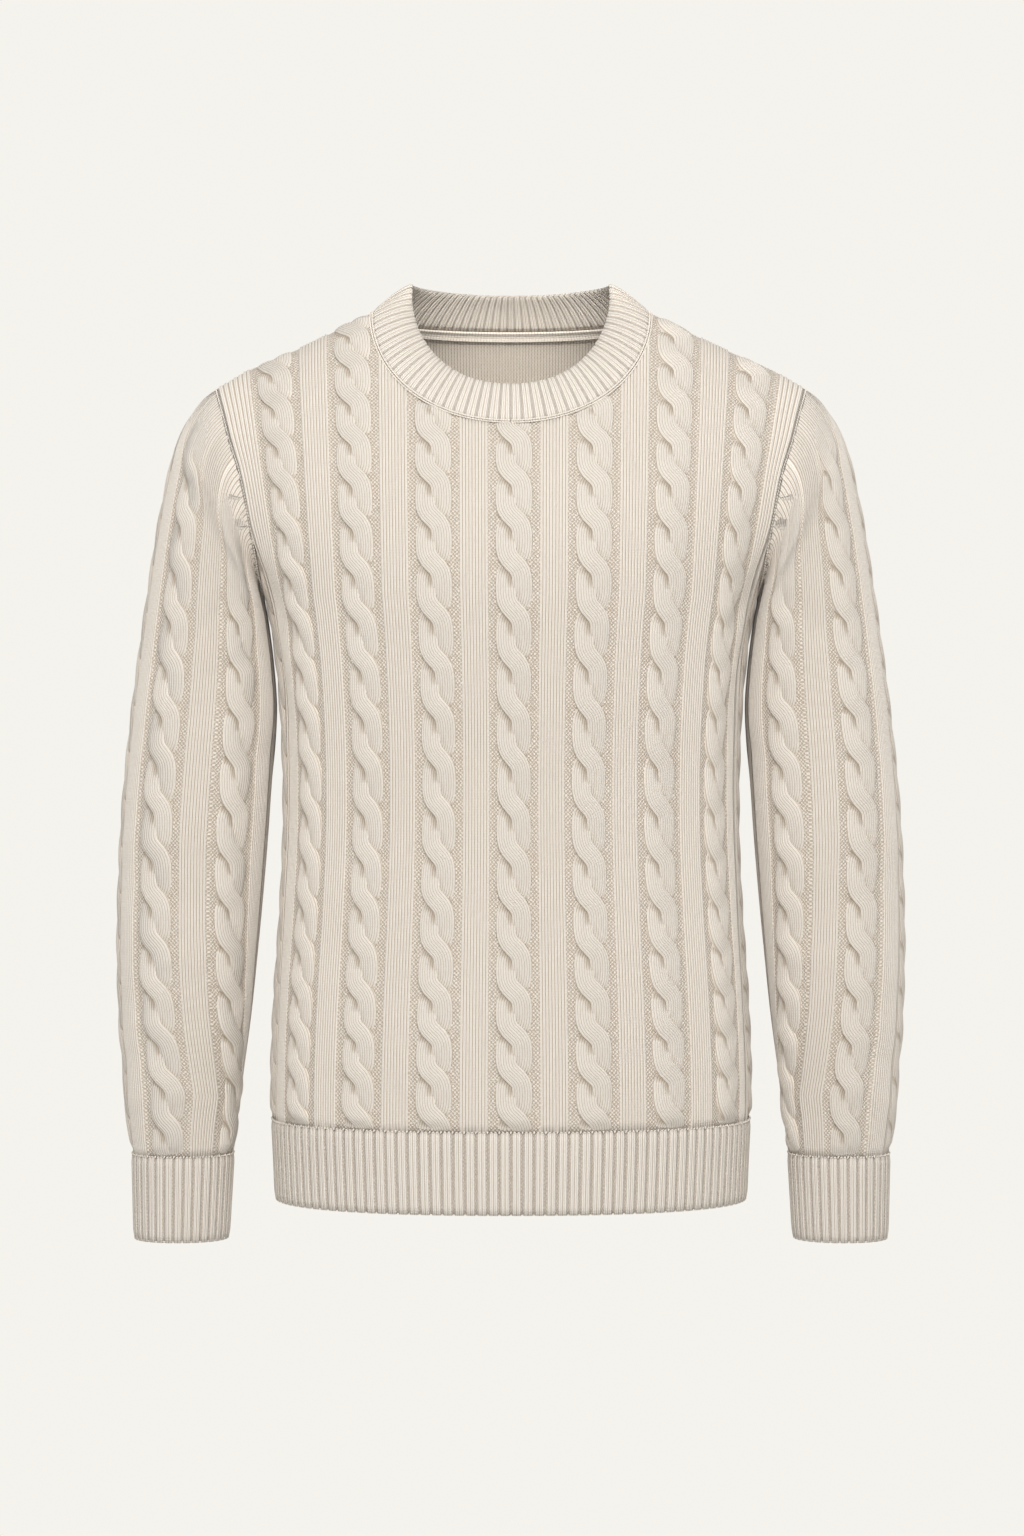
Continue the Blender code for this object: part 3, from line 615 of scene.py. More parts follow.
# A rope cable: two flat strands that cross over each other, always the same way
flatter = 0.5             # of its height, where a cable is stretched flat round a side
cable = {
    "halfStrand": 7.3,
    "aside": 5.9,         # a strand's middle from the cable's middle
    "turn": 1.7,          # how sharply the strands change sides
    "swing": 1.5,         # how far a strand is lifted at a crossing, or dips
    "thick": 3.0,
    "bottom": -1.2,
    "wales": 8,
    "groove": 0.34,
    "steps": 11,          # rows between two crossings
    "courses": 17,
    "shadow": (7.6, 12.8),   # a strand is darker this near to the middle of the one on top
}


def strandProfile():
    # across a strand: offset, height and stitch number. Its two bottom corners come in rope.
    half = cable["halfStrand"]
    rows = []
    for k in range(cable["wales"] + 1):
        for share in (0.0, 0.28, 0.72) if k < cable["wales"] else (0.0,):
            offset = -half + 2 * half * (k + share) / cable["wales"]
            rise = (1 - (abs(offset) / (half + 0.12)) ** 2.4) ** 0.5 * cable["thick"]
            groove = share == 0 and 0 < k < cable["wales"]
            rows.append((offset, rise - cable["groove"] * groove, k + share))
    return np.array(rows)


def rope(shell, surface, topOf, centre, numbers, levelOf, hand, keepOf, foot, calm=-99,
         firm=1.0):
    # keepOf: how much of its height a cable has at a place, so that it sinks in at a seam.
    # calm: above this crossing the strands lie side by side up to the seam.
    profile = strandProfile()
    bottom = cable["bottom"]
    times = np.maximum(numbers, calm + 0.5)
    level = levelOf(numbers)

    def across(t, phase):
        wave = np.cos(np.pi * (t + 0.5 + phase))
        return -hand * cable["aside"] * np.tanh(cable["turn"] * wave) / np.tanh(cable["turn"])

    for phase in (0, 1):
        x = across(times, phase)
        swing = firm * cable["swing"] * np.cos(np.pi * (times + phase))
        tangent = unit(np.stack([np.gradient(x), np.gradient(level)], 1))
        tangent *= -np.sign(tangent[:1, 1:])
        wale = centre + x[:, None] - tangent[:, 1:] * profile[:, 0]
        high = level[:, None] + tangent[:, :1] * profile[:, 0]
        top = topOf(wale)
        inside = np.clip(high, foot + 0.3, top - 0.3)
        keep = keepOf(wale, inside, top)
        held = (high <= top).any(1) & (high >= foot).any(1) & (keep > 0.01).any(1)
        keep, wale, high, inside = keep[held], wale[held], high[held], inside[held]
        swing, count = swing[held, None], numbers[held, None] * cable["courses"]

        # painted shadow where it comes out from under the other strand, weaker where it goes under
        order = np.argsort(level)
        t = np.interp(high, level[order], times[order])
        slope = (across(t + 0.02, 1 - phase) - across(t - 0.02, 1 - phase)) / 0.04
        rise = np.abs(np.interp(high, level[order], np.gradient(level, numbers)[order]))
        near = np.abs(wale - centre - across(t, 1 - phase)) / np.hypot(1, slope / rise)
        over = np.maximum(np.cos(np.pi * (t + 1 - phase)), 0) ** 0.5
        after = np.sin(np.pi * 2 * t) > 0
        deep = ramp(-near, -cable["shadow"][1], -cable["shadow"][0]) * over
        deep *= np.where(after, 1.0, 0.22) * ramp(keep, 0.35, 0.85)

        lift = bottom + (swing + firm * profile[:, 1] - bottom) * keep
        lift = np.maximum(lift, bottom)
        lift = np.hstack([lift, 0 * swing + bottom, 0 * swing + bottom])
        wale, high, deep = (np.hstack([part, part[:, -1:], part[:, :1]])
                            for part in (wale, inside, deep))
        stitch = np.r_[profile[:, 2], profile[-1, 2] + 0.5, -0.5] + 0 * wale
        base, out = surface(wale.ravel(), high.ravel())
        uv = np.stack([stitch.ravel(), (count + 0 * wale).ravel()], 1)
        ids = shell.add(base + out * lift.reshape(-1, 1), uv, 0.0, deep.ravel())
        ids = np.array(ids).reshape(wale.shape).T
        shell.sheetOf(ids, loop=True)
        shell.cap(ids[:, 0])
        shell.cap(ids[::-1, -1])


def bodyCables(side):
    shell = Shell()
    numbers = np.arange(15.45, -3.6, -1 / cable["steps"])
    for number in range(-4, 5):
        centre = centreShift + number * pitch
        if abs(centre) + 14 > halfPanel:
            continue
        least, reach = (0.0, 24.0) if abs(number) > 1 else (0.35, 9.0)

        def keepOf(wale, level, top):
            keep = least + (1 - least) * ramp(top - level, 0, reach)
            return keep * (0.15 + 0.85 * ramp(level - panelFoot, 0, 9))

        rope(shell, partial(bodySurface, side=side), partial(topLevel, side=side), centre, numbers,
             crossingLevel, -side, keepOf, panelFoot, firm=flatter if abs(number) == 4 else 1.0)
    return shell


# The armholes' edges, which the sleeves are sewn to
@lru_cache(maxsize=None)
def armLine(side):
    top = float(smooth(shoulder, "height", 225.0))
    for _ in range(30):
        top = float(smooth(shoulder, "height", float(smooth(armhole, "across", top))))
    z = chest + (top - chest) * (1 + np.cos(np.linspace(0, np.pi, 160))) / 2
    return bodyPoint(smooth(armhole, "across", z), z, side)


def armLoop(share, sign):      # 0 at the shoulder, 0.25 front, 0.5 underarm, 0.75 back
    share = np.mod(share, 1.0)
    parts = [np.zeros((len(share), 3)) for _ in range(3)]
    for side in (-1, 1):
        line = armLine(side)
        normal = bodyNormal(line, side)
        off = np.cross(unit(np.gradient(line, axis=0)), normal) * side
        run = lengths(line)
        at = 2 * (share if side < 0 else 1 - share) * run[-1]
        here = share <= 0.5 if side < 0 else share > 0.5
        for target, source in zip(parts, (line, normal, off)):
            target[here] = along(at, run, source)[here]
    for target in parts:
        target[:, 0] *= sign
    return parts


# Rings of a sleeve: how far from the armhole, its outer and its inner side, and half its depth.
# From the underarm half way down the inner side stands up to 6 mm nearer the body than its solid.
rings = columns("run outX outZ inX inZ depth", [
    (0, 221, -63, 182.8, -221.7, 62), (4, 227, -66, 184.6, -219.4, 61.5),
    (9, 234, -73, 184.8, -222.0, 61), (18, 242, -86, 183.2, -230, 60.5),
    (32, 250, -106, 181.7, -241, 60), (52, 257, -134, 179.6, -256, 59.5),
    (78, 264, -170, 177.4, -276, 59), (108, 271, -216, 175.9, -300, 59),
    (140, 277.5, -262, 177.0, -326, 58.5), (176, 283.5, -310, 179.8, -356, 58),
    (216, 288.8, -362, 182.4, -394, 57.5), (262, 292.2, -420, 186.2, -440, 56),
    (306, 293.6, -473, 190.4, -484, 54.5), (346, 292.8, -520, 194.8, -526, 52.5),
    (398, 289.2, -578, 202.0, -580, 47), (432, 285.8, -613, 206.4, -614, 42.5),
    (452, 283.0, -634, 208.6, -634, 40)])
armWales = columns("wale share", [
    (0, 0), (24, 0.014), (47, 0.036), (63.5, 0.072), (80, 0.115), (105.5, 0.19), (122, 0.255),
    (138.5, 0.325), (158, 0.412), (177.5, 0.5)])
armCrossing = columns("number height", [
    (-1, -7), (0, 26), (3, 126.5), (6, 229), (8, 300), (11, 405), (14, 511), (17, 616)])
arm = {
    "end": 452.0,            # run at the cuff seam
    "power": 2.15,
    "half": 177.5,           # outer line to underarm seam, along the knit
    "kept": 133.0,           # up to this wale the knit keeps its width where the sleeve narrows
    "fine": 46.0,            # this near to the armhole the rows lie closer together
    "cables": (-112, -53.5, 5, 63.5, 122),   # wales of their middles
    "calm": 58.0,            # below the seam, the highest crossing
    "even": 60.0,            # beyond this wale the knit is spread over a fuller sleeve head
}


def ringSides(run):
    outX, outZ, inX, inZ, depth = (smooth(rings, name, run) for name in list(rings)[1:])
    return (outX - inX) / 2, (outZ - inZ) / 2, (outX + inX) / 2, (outZ + inZ) / 2, depth


def ringLoop(run, share, sign):
    wideX, wideZ, midX, midZ, depth = ringSides(run)
    turn = np.linspace(0, np.pi / 2, 120)
    unitX = np.cos(turn) ** (2 / arm["power"])
    unitY = np.sin(turn) ** (2 / arm["power"])
    length = lengths(np.stack([unitX * np.hypot(wideX, wideZ), unitY * depth], 1))
    fold = np.mod(share, 1)
    quarter = np.abs(np.mod(fold * 4 + 1, 2) - 1) * length[-1]
    near = np.interp(quarter, length, unitX) * np.where((fold < 0.25) | (fold > 0.75), 1.0, -1.0)
    fore = np.interp(quarter, length, unitY) * np.where(fold < 0.5, -1.0, 1.0)
    return np.stack([sign * (midX + wideX * near), fore * depth, midZ + wideZ * near], 1)


def ringGirth(run):
    wideX, wideZ, _, _, depth = ringSides(run)
    return 2 * np.pi * np.sqrt((np.hypot(wideX, wideZ) ** 2 + depth ** 2) / 2) * 1.012


def sleeveShare(wale, run, sign):
    size = np.abs(wale)
    half = ringGirth(run) / 2
    kept = arm["kept"]
    scale = np.minimum(1, (half - 8) / kept)
    rest = kept * scale + (size - kept) * (half - kept * scale) / (arm["half"] - kept)
    narrow = np.where(size < kept, size * scale, rest)
    fuller = (half - arm["even"]) / (arm["half"] - arm["even"])
    wide = np.minimum(size, arm["even"]) + np.maximum(size - arm["even"], 0) * fuller
    share = np.where(half > arm["half"], wide, narrow) / (2 * half)
    head = smooth(armWales, "share", size)
    share = head + (share - head) * ramp(run, 0, 38)
    turn = 8 * ramp(run, 150, 330) if sign > 0 else -2.5 * ramp(run, 380, 450)
    return np.sign(wale) * share + turn * (1 - size / arm["half"]) / (2 * half)


@lru_cache(maxsize=None)
def sleeveGrids(sign):
    # the sleeve's surface by run and share, and each wale's run by height over the cuff seam
    runs = np.r_[np.linspace(0, 30, 25), np.linspace(32.5, arm["end"], 168)]
    shares = np.linspace(0, 1, 257)
    edge, out0, away = armLoop(shares, sign)
    points = []
    for run in runs:
        near = 1 - ramp(run, 0, 26)
        ring = ringLoop(run, shares, sign)
        points.append(ring + (edge + away * (seamGap + run * 0.8) - ring) * near)
    points = np.array(points)
    around = np.roll(points[:, :-1], -1, 1) - np.roll(points[:, :-1], 1, 1)
    around = np.concatenate([around, around[:, :1]], 1)
    out = unit(np.cross(around, np.gradient(points, runs, axis=0)) * sign)
    out[0] = out0
    wales = np.linspace(-arm["half"], arm["half"], 61)
    heights = np.arange(-4, 640, 4.0)
    rows = []
    tops = []
    for wale in wales:
        share = np.mod(sleeveShare(np.full(len(runs), wale), runs, sign), 1)
        line = between(points, runs, shares, runs, share)
        run = lengths(line)
        tops.append(run[-1])
        rows.append(np.interp(run[-1] - heights, run, runs))
    return runs, shares, points, out, wales, heights, np.array(rows)[..., None], np.array(tops)


sleeveCreases = columns("wale level angle long wide deep", [
    (96, 400, 35, 46, 9, -1.5), (112, 366, 28, 40, 8, -1.1), (84, 330, 20, 44, 10, -0.9),
    (58, 236, 12, 40, 12, 0.9), (70, 196, -14, 44, 11, -1.1), (92, 150, 10, 38, 10, 1.0),
    (60, 112, -8, 42, 12, -0.9), (34, 72, 16, 34, 10, -0.9), (80, 46, -12, 30, 9, 0.9),
    (20, 40, 6, 30, 8, 0.8), (-30, 60, 10, 36, 10, -0.9), (-64, 104, -12, 40, 11, 1.0),
    (-90, 168, 14, 42, 11, -1.1), (-72, 232, -10, 44, 12, 0.9), (-100, 380, -32, 44, 9, -1.3),
    (-84, 320, -22, 40, 10, -0.9), (140, 300, 10, 46, 12, -1.1), (-142, 262, -8, 44, 12, -1.0)])


def sleeveRun(wale, height, sign):     # how far a place is from the armhole
    wales, heights, runOf = sleeveGrids(sign)[4:7]
    inside = np.clip(wale, -arm["half"], arm["half"])
    return between(runOf, wales, heights, inside, height)[:, 0]


def sleeveSurface(wale, height, sign):
    runs, shares, points, out = sleeveGrids(sign)[:4]
    run = sleeveRun(wale, height, sign)
    share = np.mod(sleeveShare(wale, run, sign), 1)
    place = between(points, runs, shares, run, share)
    normal = unit(between(out, runs, shares, run, share))
    return place + normal * creaseDepth(sleeveCreases, wale, height)[:, None], normal


def sleeveTop(wale, sign):
    grids = sleeveGrids(sign)
    return np.interp(wale, grids[4], grids[7])


def sleeveWales():
    lines = {}
    for number, middle in enumerate(arm["cables"]):
        for offset, lift, purl, stitch in groundLines:
            wale = middle + offset
            lines[round(wale, 3)] = (wale, lift, purl, stitch + number * stitchesInPitch)
    for wale in (-arm["half"], -166, -154.5, -143, 165, 171, arm["half"]):
        lines[wale] = (wale, 0.6, 0.0, wale / plainWale)
    return [lines[key] for key in sorted(lines)]


def sleeveSkin(shell, lines, sign, step, depth):
    cols = []
    for wale, lift, purl, stitch in lines:
        top = float(sleeveTop(wale, sign)) - seamGap
        below = np.arange(0, top - arm["fine"], step)
        height = np.r_[below, np.linspace(below[-1], top, 20)[1:]]
        here = np.full(len(height), float(wale))
        base, out = sleeveSurface(here, height, sign)
        if depth:
            raised = 0 * height - depth
        else:
            run = sleeveRun(here, height, sign)
            if lift < 0:
                raised = lift * ramp(run, 8, 26) * ramp(height, 1, 8)
            else:
                raised = 0.3 + (lift - 0.3) * ramp(run, 3, 34)
            raised = raised * (0.5 + 0.5 * ramp(height, 0, 6))
            raised[0] = max(raised[0], 0.3)
            purl = purl * ramp(run, 12, 30) * ramp(abs(wale - arm["cables"][2]), 17, 22)
        uv = np.stack([np.full(len(height), stitch), height / courseHeight], 1)
        ids = shell.add(base + out * raised[:, None], uv, purl)
        cols.append(list(zip(height.tolist(), ids)))
    return cols


def sleeveKnit(sign):
    shell = Shell()
    knit = sleeveWales()
    plain = [(w, 0, 0, w / 2.9) for w in np.linspace(-arm["half"], arm["half"], 61)]
    outer = sleeveSkin(shell, knit, sign, outerStep, 0)
    inner = sleeveSkin(shell, plain, sign, innerStep, wall)
    for cols in (outer, inner):
        for first, second in zip(cols[:-1], cols[1:]):
            shell.strip(first, second)
    for end in (0, -1):
        shell.strip(*([(row[0], col[end][1]) for row, col in zip(rows, cols)]
                      for rows, cols in ((plain, inner), (knit, outer))))
    shell.weld = 0.02
    return shell


def sleeveCables(sign):
    shell = Shell()

    def topOf(wale):
        return sleeveTop(wale, sign) - seamGap

    def levelOf(number):
        return smooth(armCrossing, "height", -number)

    def keepOf(wale, height, top):
        run = sleeveRun(wale.ravel(), height.ravel(), sign).reshape(wale.shape)
        return ramp(run, 5, 30) * (0.15 + 0.85 * ramp(height, 0, 9))

    for centre in arm["cables"]:
        top = float(sleeveTop(centre, sign))
        last = np.floor(np.interp(top - arm["calm"], armCrossing["height"], armCrossing["number"]))
        high = np.interp(top + 12, armCrossing["height"], armCrossing["number"])
        numbers = -np.arange(high, -1.0, -1 / cable["steps"])
        rope(shell, partial(sleeveSurface, sign=sign), topOf, centre, numbers, levelOf, -sign,
             keepOf, 0.0, calm=-last - 1, firm=flatter if abs(centre) < 10 else 1.0)
    return shell


# Rib bands: two knit stitches up, two down. The inner face is the outer one turned over.
ribOutside = columns("place lift stitch purl", [
    (0.0, 0.1, 3.0, 1), (0.09, 0.25, 3.75, 0.9), (0.17, 1.1, 4.12, 0), (0.32, 1.45, 4.5, 0),
    (0.5, 1.15, 5.0, 0), (0.68, 1.45, 5.5, 0), (0.83, 1.1, 5.88, 0), (0.91, 0.25, 6.25, 0.9)])
closeRib = columns("place lift stitch purl", [      # the collar's ribs lie close together
    (0.0, 0.3, 3.0, 0.3), (0.06, 0.5, 3.8, 0.2), (0.13, 1.1, 4.1, 0), (0.3, 1.45, 4.5, 0),
    (0.5, 1.2, 5.0, 0), (0.7, 1.45, 5.5, 0), (0.87, 1.1, 5.9, 0), (0.94, 0.5, 6.2, 0.2)])


def ribFaces(count, rib=ribOutside):
    # for each rib: share of the way round, lift outside, lift inside, stitch and purl. The
    # last column closes the round, or ends the band.
    place = (np.arange(count)[:, None] + rib["place"]).ravel() / count
    stitch = (4 * np.arange(count)[:, None] + rib["stitch"]).ravel()
    outside = np.r_[np.tile(rib["lift"], count), rib["lift"][0]]
    purl = np.r_[np.tile(rib["purl"], count), rib["purl"][0]]
    return (np.r_[place, 1.0], outside, 1.4 - outside,
            np.r_[stitch, 4 * count + rib["stitch"][0]], purl)


def bandGrid(shell, rows, closed):
    ids = np.array(rows).T
    shell.sheetOf(np.hstack([ids, ids[:, :1]]))
    if closed:
        shell.weld = 0.02
    else:
        shell.cap(ids[0, ::-1])
        shell.cap(ids[-1])
    return shell


def downAndUp(steps, back, rim=()):
    # down the outer face of a band and up its inner one: share of the way, and if it is outside
    return ([(part, True) for part in (*np.linspace(0, 1, steps), *rim)]
            + [(part, False) for part in np.linspace(1, 0, back)])


bandInside = 0.62 * wall     # a band's inner face lies this far inside the body's form
# A band's seam and foot, how far its furrows start below the seam, how much of their relief
# the ribs have at the seam, and how far above the foot its small loops stand
hem = {"ribs": 60, "head": panelFoot, "foot": -445.5, "steps": 11, "dip": 1.1, "pinch": 0.55,
       "rim": 0.6}
cuffs = {"ribs": 34, "head": rings["outZ"][-1], "foot": -698.0, "steps": 11, "dip": 1.0,
         "pinch": 0.5, "rim": 0.9,
         "size": 0.93,       # of the sleeve's end, at the cuff's foot
         "drift": 1.1}       # and how far out that foot stands


def hemSurface(side):
    def surface(share, level, _):
        wale = -halfPanel + 2 * halfPanel * np.clip(share, 0, 1)
        base = lowPoint(wale, chest + level + 0 * wale, side)
        return base, bodyNormal(base, side)

    return surface


def cuffSurface(sign):
    def surface(share, height, part):
        base, after, before = (ringLoop(arm["end"], share + way, sign) for way in (0, 0.002, -0.002))
        way = after - before
        size = 1 + (cuffs["size"] - 1) * part
        middle = np.array([sign * ringSides(arm["end"])[2], 0, 0])
        spot = middle + (base - middle) * np.array([size, size, 1])
        spot[:, 0] += sign * cuffs["drift"] * part
        spot[:, 2] = height
        return spot, unit(np.stack([way[:, 1], -way[:, 0], 0 * share], 1) * -sign)

    return surface


def ribBand(band, surface, closed):
    shell = Shell()
    share, outside, inside, stitch, purl = ribFaces(band["ribs"])
    furrow = outside <= 0.5
    head = band["head"] - seamGap
    rows = []
    for part, out in downAndUp(band["steps"], 5):
        level = head + (band["foot"] - head) * part
        level = level + furrow * (0.3 * (part == 1) - band["dip"] * (part == 0))
        base, normal = surface(share, level, part)
        gather = band["pinch"] + (1 - band["pinch"]) * ramp(part, 0, 0.1)
        gather *= 0.4 + 0.6 * ramp(1 - part, 0, 0.13)
        lift = outside * gather if out else -bandInside - inside * gather
        uv = np.stack([stitch, level / courseHeight], 1)
        rows.append(shell.add(base + normal * lift[:, None], uv, purl if out else 1 - purl))
    return bandGrid(shell, rows, closed)


def hemBand(side):
    return ribBand(hem, hemSurface(side), closed=False)


def cuffBand(sign):
    return ribBand(cuffs, cuffSurface(sign), closed=True)


@lru_cache(maxsize=None)
def neckLine(side):
    turn = np.linspace(0, np.pi / 2, 120)
    x = neckHalf * np.sin(turn) ** (2 / neckPower)
    x[-1] = neckHalf
    point = bodyPoint(x, neckHeight(x, side), side)
    normal = bodyNormal(point, side)
    return point, normal, np.cross(unit(np.gradient(point, axis=0)), normal) * side


collar = {
    "ribs": 90,
    "steps": 9,
    "bulge": 0.32,                # how round it stands between its seam and its edge
    "relief": 0.8,
    "rim": 1.3,
    "half": 75.0,                 # of the upper edge's width
    "power": 2.2,                 # roundness of that edge
    "side": (5.0, 17.0),          # its depth and height beside the neck
    "front": (-76.0, -82.0, 1.0),     # from there to its middle in front, and how it gets there
    "back": (45.0, -3.5, 2.5),        # and behind
}


def collarTop(turn, side):
    wide = collar["half"] * np.sin(turn) ** (2 / collar["power"])
    reach = np.cos(turn) ** (2 / collar["power"])
    y, z = collar["side"]
    deep, drop, bend = collar["front" if side < 0 else "back"]
    return np.stack([wide, y + deep * reach, z + drop * reach ** bend], 1)


def collarLoop(share):         # seam edge, way out, way up and upper edge
    share = np.mod(share, 1.0)
    quarter = np.floor(share * 4).astype(int)
    within = share * 4 - quarter
    parts = [np.zeros((len(share), 3)) for _ in range(4)]
    for k, (side, sign) in enumerate([(-1, 1), (1, 1), (1, -1), (-1, -1)]):
        point, normal, off = neckLine(side)
        edge = collarTop(np.linspace(0, np.pi / 2, 120), side)
        here = quarter == k
        amount = within[here] if k % 2 == 0 else 1 - within[here]
        for part, source in zip(parts, (point, normal, off, edge)):
            run = lengths(edge if source is edge else point)
            value = along(amount * run[-1], run, source)
            value[:, 0] *= sign
            part[here] = value
    return parts


def collarBand():
    shell = Shell()
    share, raised, _, stitch, purl = ribFaces(collar["ribs"], closeRib)
    rows = []
    for part, out in downAndUp(collar["steps"], collar["steps"], rim=[1.0001]):
        # the inner face has its ribs between the outer ones
        seam, normal, up, edge = collarLoop(share + (0 if out else 0.5 / collar["ribs"]))
        foot = seam + up * seamGap
        span = np.linalg.norm(edge - foot, axis=1, keepdims=True)
        bulge = (normal * 0.6 + up * 0.5) * collar["bulge"]
        around = np.roll(foot[:-1], -1, 0) - np.roll(foot[:-1], 1, 0)
        around = np.r_[around, around[:1]]
        spot = foot + (edge - foot) * part + bulge * span * part * (1 - part)
        rise = unit((edge - foot) / span + bulge * (1 - 2 * part))
        away = unit(np.cross(around, rise)) if part else normal
        gather = collar["relief"] * (0.5 + 0.5 * ramp(part, 0, 0.1))
        gather *= 0.6 + 0.4 * ramp(1 - part, 0, 0.2)
        lift = raised * gather if out else -bandInside - raised * gather
        if part > 1:
            lift = 0 * raised - bandInside / 2
            spot = spot + rise * collar["rim"]
        spot = spot + away * lift[:, None]
        uv = np.stack([stitch, part * span[:, 0] / courseHeight], 1)
        rows.append(shell.add(spot, uv, purl))
    return bandGrid(shell, rows, closed=True)


# The tape's section: how far above the neck seam, and how deep inside the back panel
tape = columns("up deep", [(1.5, 1.2), (1.3, 1.9), (0.7, 2.3), (-0.3, 2.3), (-0.8, 2.0),
                           (-5.8, 2.0), (-6.3, 2.5), (-7.1, 2.4), (-7.6, 1.2)])
tapeHalf = 0.58     # of a quarter of the neck, to each side of its middle behind


def neckTape():
    shell = Shell()
    share = np.linspace(-tapeHalf, tapeHalf, 80)
    seam, _, off, _ = collarLoop(0.5 + share * 0.25)
    rows = []
    for up, deep in zip(*tape.values()):
        place = seam + off * up
        fixed = bodyPoint(place[:, 0], place[:, 2], 1)
        uv = np.stack([share * 60, np.full(80, up / courseHeight)], 1)
        rows.append(shell.add(fixed - bodyNormal(fixed, 1) * (wall + deep), uv))
    ids = np.array(rows)
    shell.sheetOf(ids, loop=True)
    shell.cap(ids[::-1, 0])
    shell.cap(ids[:, -1])
    return shell


# Links of the seams: small loops in rows. Geometry Nodes put one on each point of a row.
links = {
    "size": (1.35, 0.72, 0.62),    # half a loop's length, width and height, mm
    "spacing": 2.35,               # from one to the next
    "twist": 0.5,                  # radians that a loop lies across the armhole's seam
    "chain": (0.85, 0.95, 0.25, 2.0),    # at the collar: from the seam, up, across, spacing
    "plain": (0.35, 0.3, 0.4, 0.9),      # shoulder and side: up, up, across, share of the size
    "uneven": 0.14,
    "sides": 6,
    "rings": 4,
    "seed": 5,
}


def linkNodes():
    group = bpy.data.node_groups.new("seam_links", "GeometryNodeTree")
    for name, kind in (("Geometry", "Geometry"), ("Size", "Vector"), ("Uneven", "Float"),
                       ("Sides", "Int"), ("Rings", "Int"), ("Seed", "Int"), ("Yarn", "Material")):
        group.interface.new_socket(name, in_out="INPUT", socket_type="NodeSocket" + kind)
    group.interface.new_socket("Geometry", in_out="OUTPUT", socket_type="NodeSocketGeometry")

    def node(kind, inputs, **settings):
        return wire(group, kind, inputs, **settings)

    def stored(name, kind):
        return node("GeometryNodeInputNamedAttribute", {"Name": name}, data_type=kind)

    given = group.nodes.new("NodeGroupInput").outputs
    loop = node("GeometryNodeMeshUVSphere", {
        "Segments": given["Sides"], "Rings": given["Rings"], "Radius": 1.0})
    turn = node("FunctionNodeAlignRotationToVector", {"Vector": stored("way", "FLOAT_VECTOR")},
                axis="X")
    turn = node("FunctionNodeAlignRotationToVector", {
        "Rotation": turn, "Vector": stored("out", "FLOAT_VECTOR")}, axis="Z", pivot_axis="X")
    chance = group.nodes.new("FunctionNodeRandomValue")
    chance.data_type = "FLOAT"
    chance.inputs[2].default_value, chance.inputs[3].default_value = -1.0, 1.0
    group.links.new(given["Seed"], chance.inputs["Seed"])
    odd = node("ShaderNodeMath", {0: chance.outputs[1], 1: given["Uneven"]}, operation="MULTIPLY")
    lean = node("ShaderNodeMath", {0: odd, 1: stored("lean", "FLOAT")}, operation="ADD")
    tilt = node("FunctionNodeEulerToRotation", {
        "Euler": node("ShaderNodeCombineXYZ", {"Z": lean})})
    turn = node("FunctionNodeRotateRotation", {"Rotation": turn, "Rotate By": tilt},
                rotation_space="LOCAL")
    size = node("ShaderNodeVectorMath", {0: given["Size"], "Scale": stored("grow", "FLOAT")},
                operation="SCALE")
    loops = node("GeometryNodeInstanceOnPoints", {
        "Points": given["Geometry"], "Instance": loop, "Rotation": turn, "Scale": size})
    whole = node("GeometryNodeSetShadeSmooth", {
        "Geometry": node("GeometryNodeRealizeInstances", {"Geometry": loops})})
    whole = node("GeometryNodeSetMaterial", {"Geometry": whole, "Material": given["Yarn"]})
    group.links.new(whole, group.nodes.new("NodeGroupOutput").inputs[0])
    return group


def evenRow(line, out, lean, grow=1.0, spacing=links["spacing"]):
    # loops at equal steps along a line: place, way, out, lean and size
    run = lengths(line)
    at = np.arange(0.5, run[-1] / spacing) * spacing
    at = at[at < run[-1]]
    return (along(at, run, line), unit(along(at, run, np.gradient(line, axis=0))),
            unit(along(at, run, out)), 0 * at + lean, 0 * at + grow)


def linkPiece(name, rows, group, material):
    place, way, out, lean, grow = (np.concatenate(part) for part in zip(*rows))
    mesh = bpy.data.meshes.new(name)
    mesh.from_pydata((place * 0.001).tolist(), [], [])
    for label, values in (("way", way), ("out", out), ("lean", lean), ("grow", grow)):
        attribute(mesh, label, values)
    points = placed(name + "_points", mesh)
    nodes = points.modifiers.new("links", "NODES")
    nodes.node_group = group
    values = {"Size": [v * 0.001 for v in links["size"]], "Uneven": links["uneven"],
              "Sides": links["sides"], "Rings": links["rings"], "Seed": links["seed"],
              "Yarn": material}
    for item in group.interface.items_tree:
        if item.in_out == "INPUT" and item.name in values:
            nodes[item.identifier] = values[item.name]
    points.update_tag()
    ready = points.evaluated_get(bpy.context.evaluated_depsgraph_get())
    solid = bpy.data.meshes.new_from_object(ready)
    bpy.data.objects.remove(points)
    return placed(name, solid)


def armholeLinks():
    rows = []
    for sign in (-1, 1):
        edge, out, away = armLoop(np.linspace(0, 0.99999, 900), sign)
        rows.append(evenRow(edge + away * seamGap / 2 + out * 0.3, out, sign * links["twist"]))
    return rows


def collarChain():
    seam, normal, up, _ = collarLoop(np.linspace(0, 0.99999, 1200))
    apart, lift, lean, spacing = links["chain"]
    return [evenRow(seam + up * (seamGap / 2 + side * apart) + normal * lift, normal,
                    side * lean, spacing=spacing) for side in (-1, 1)]


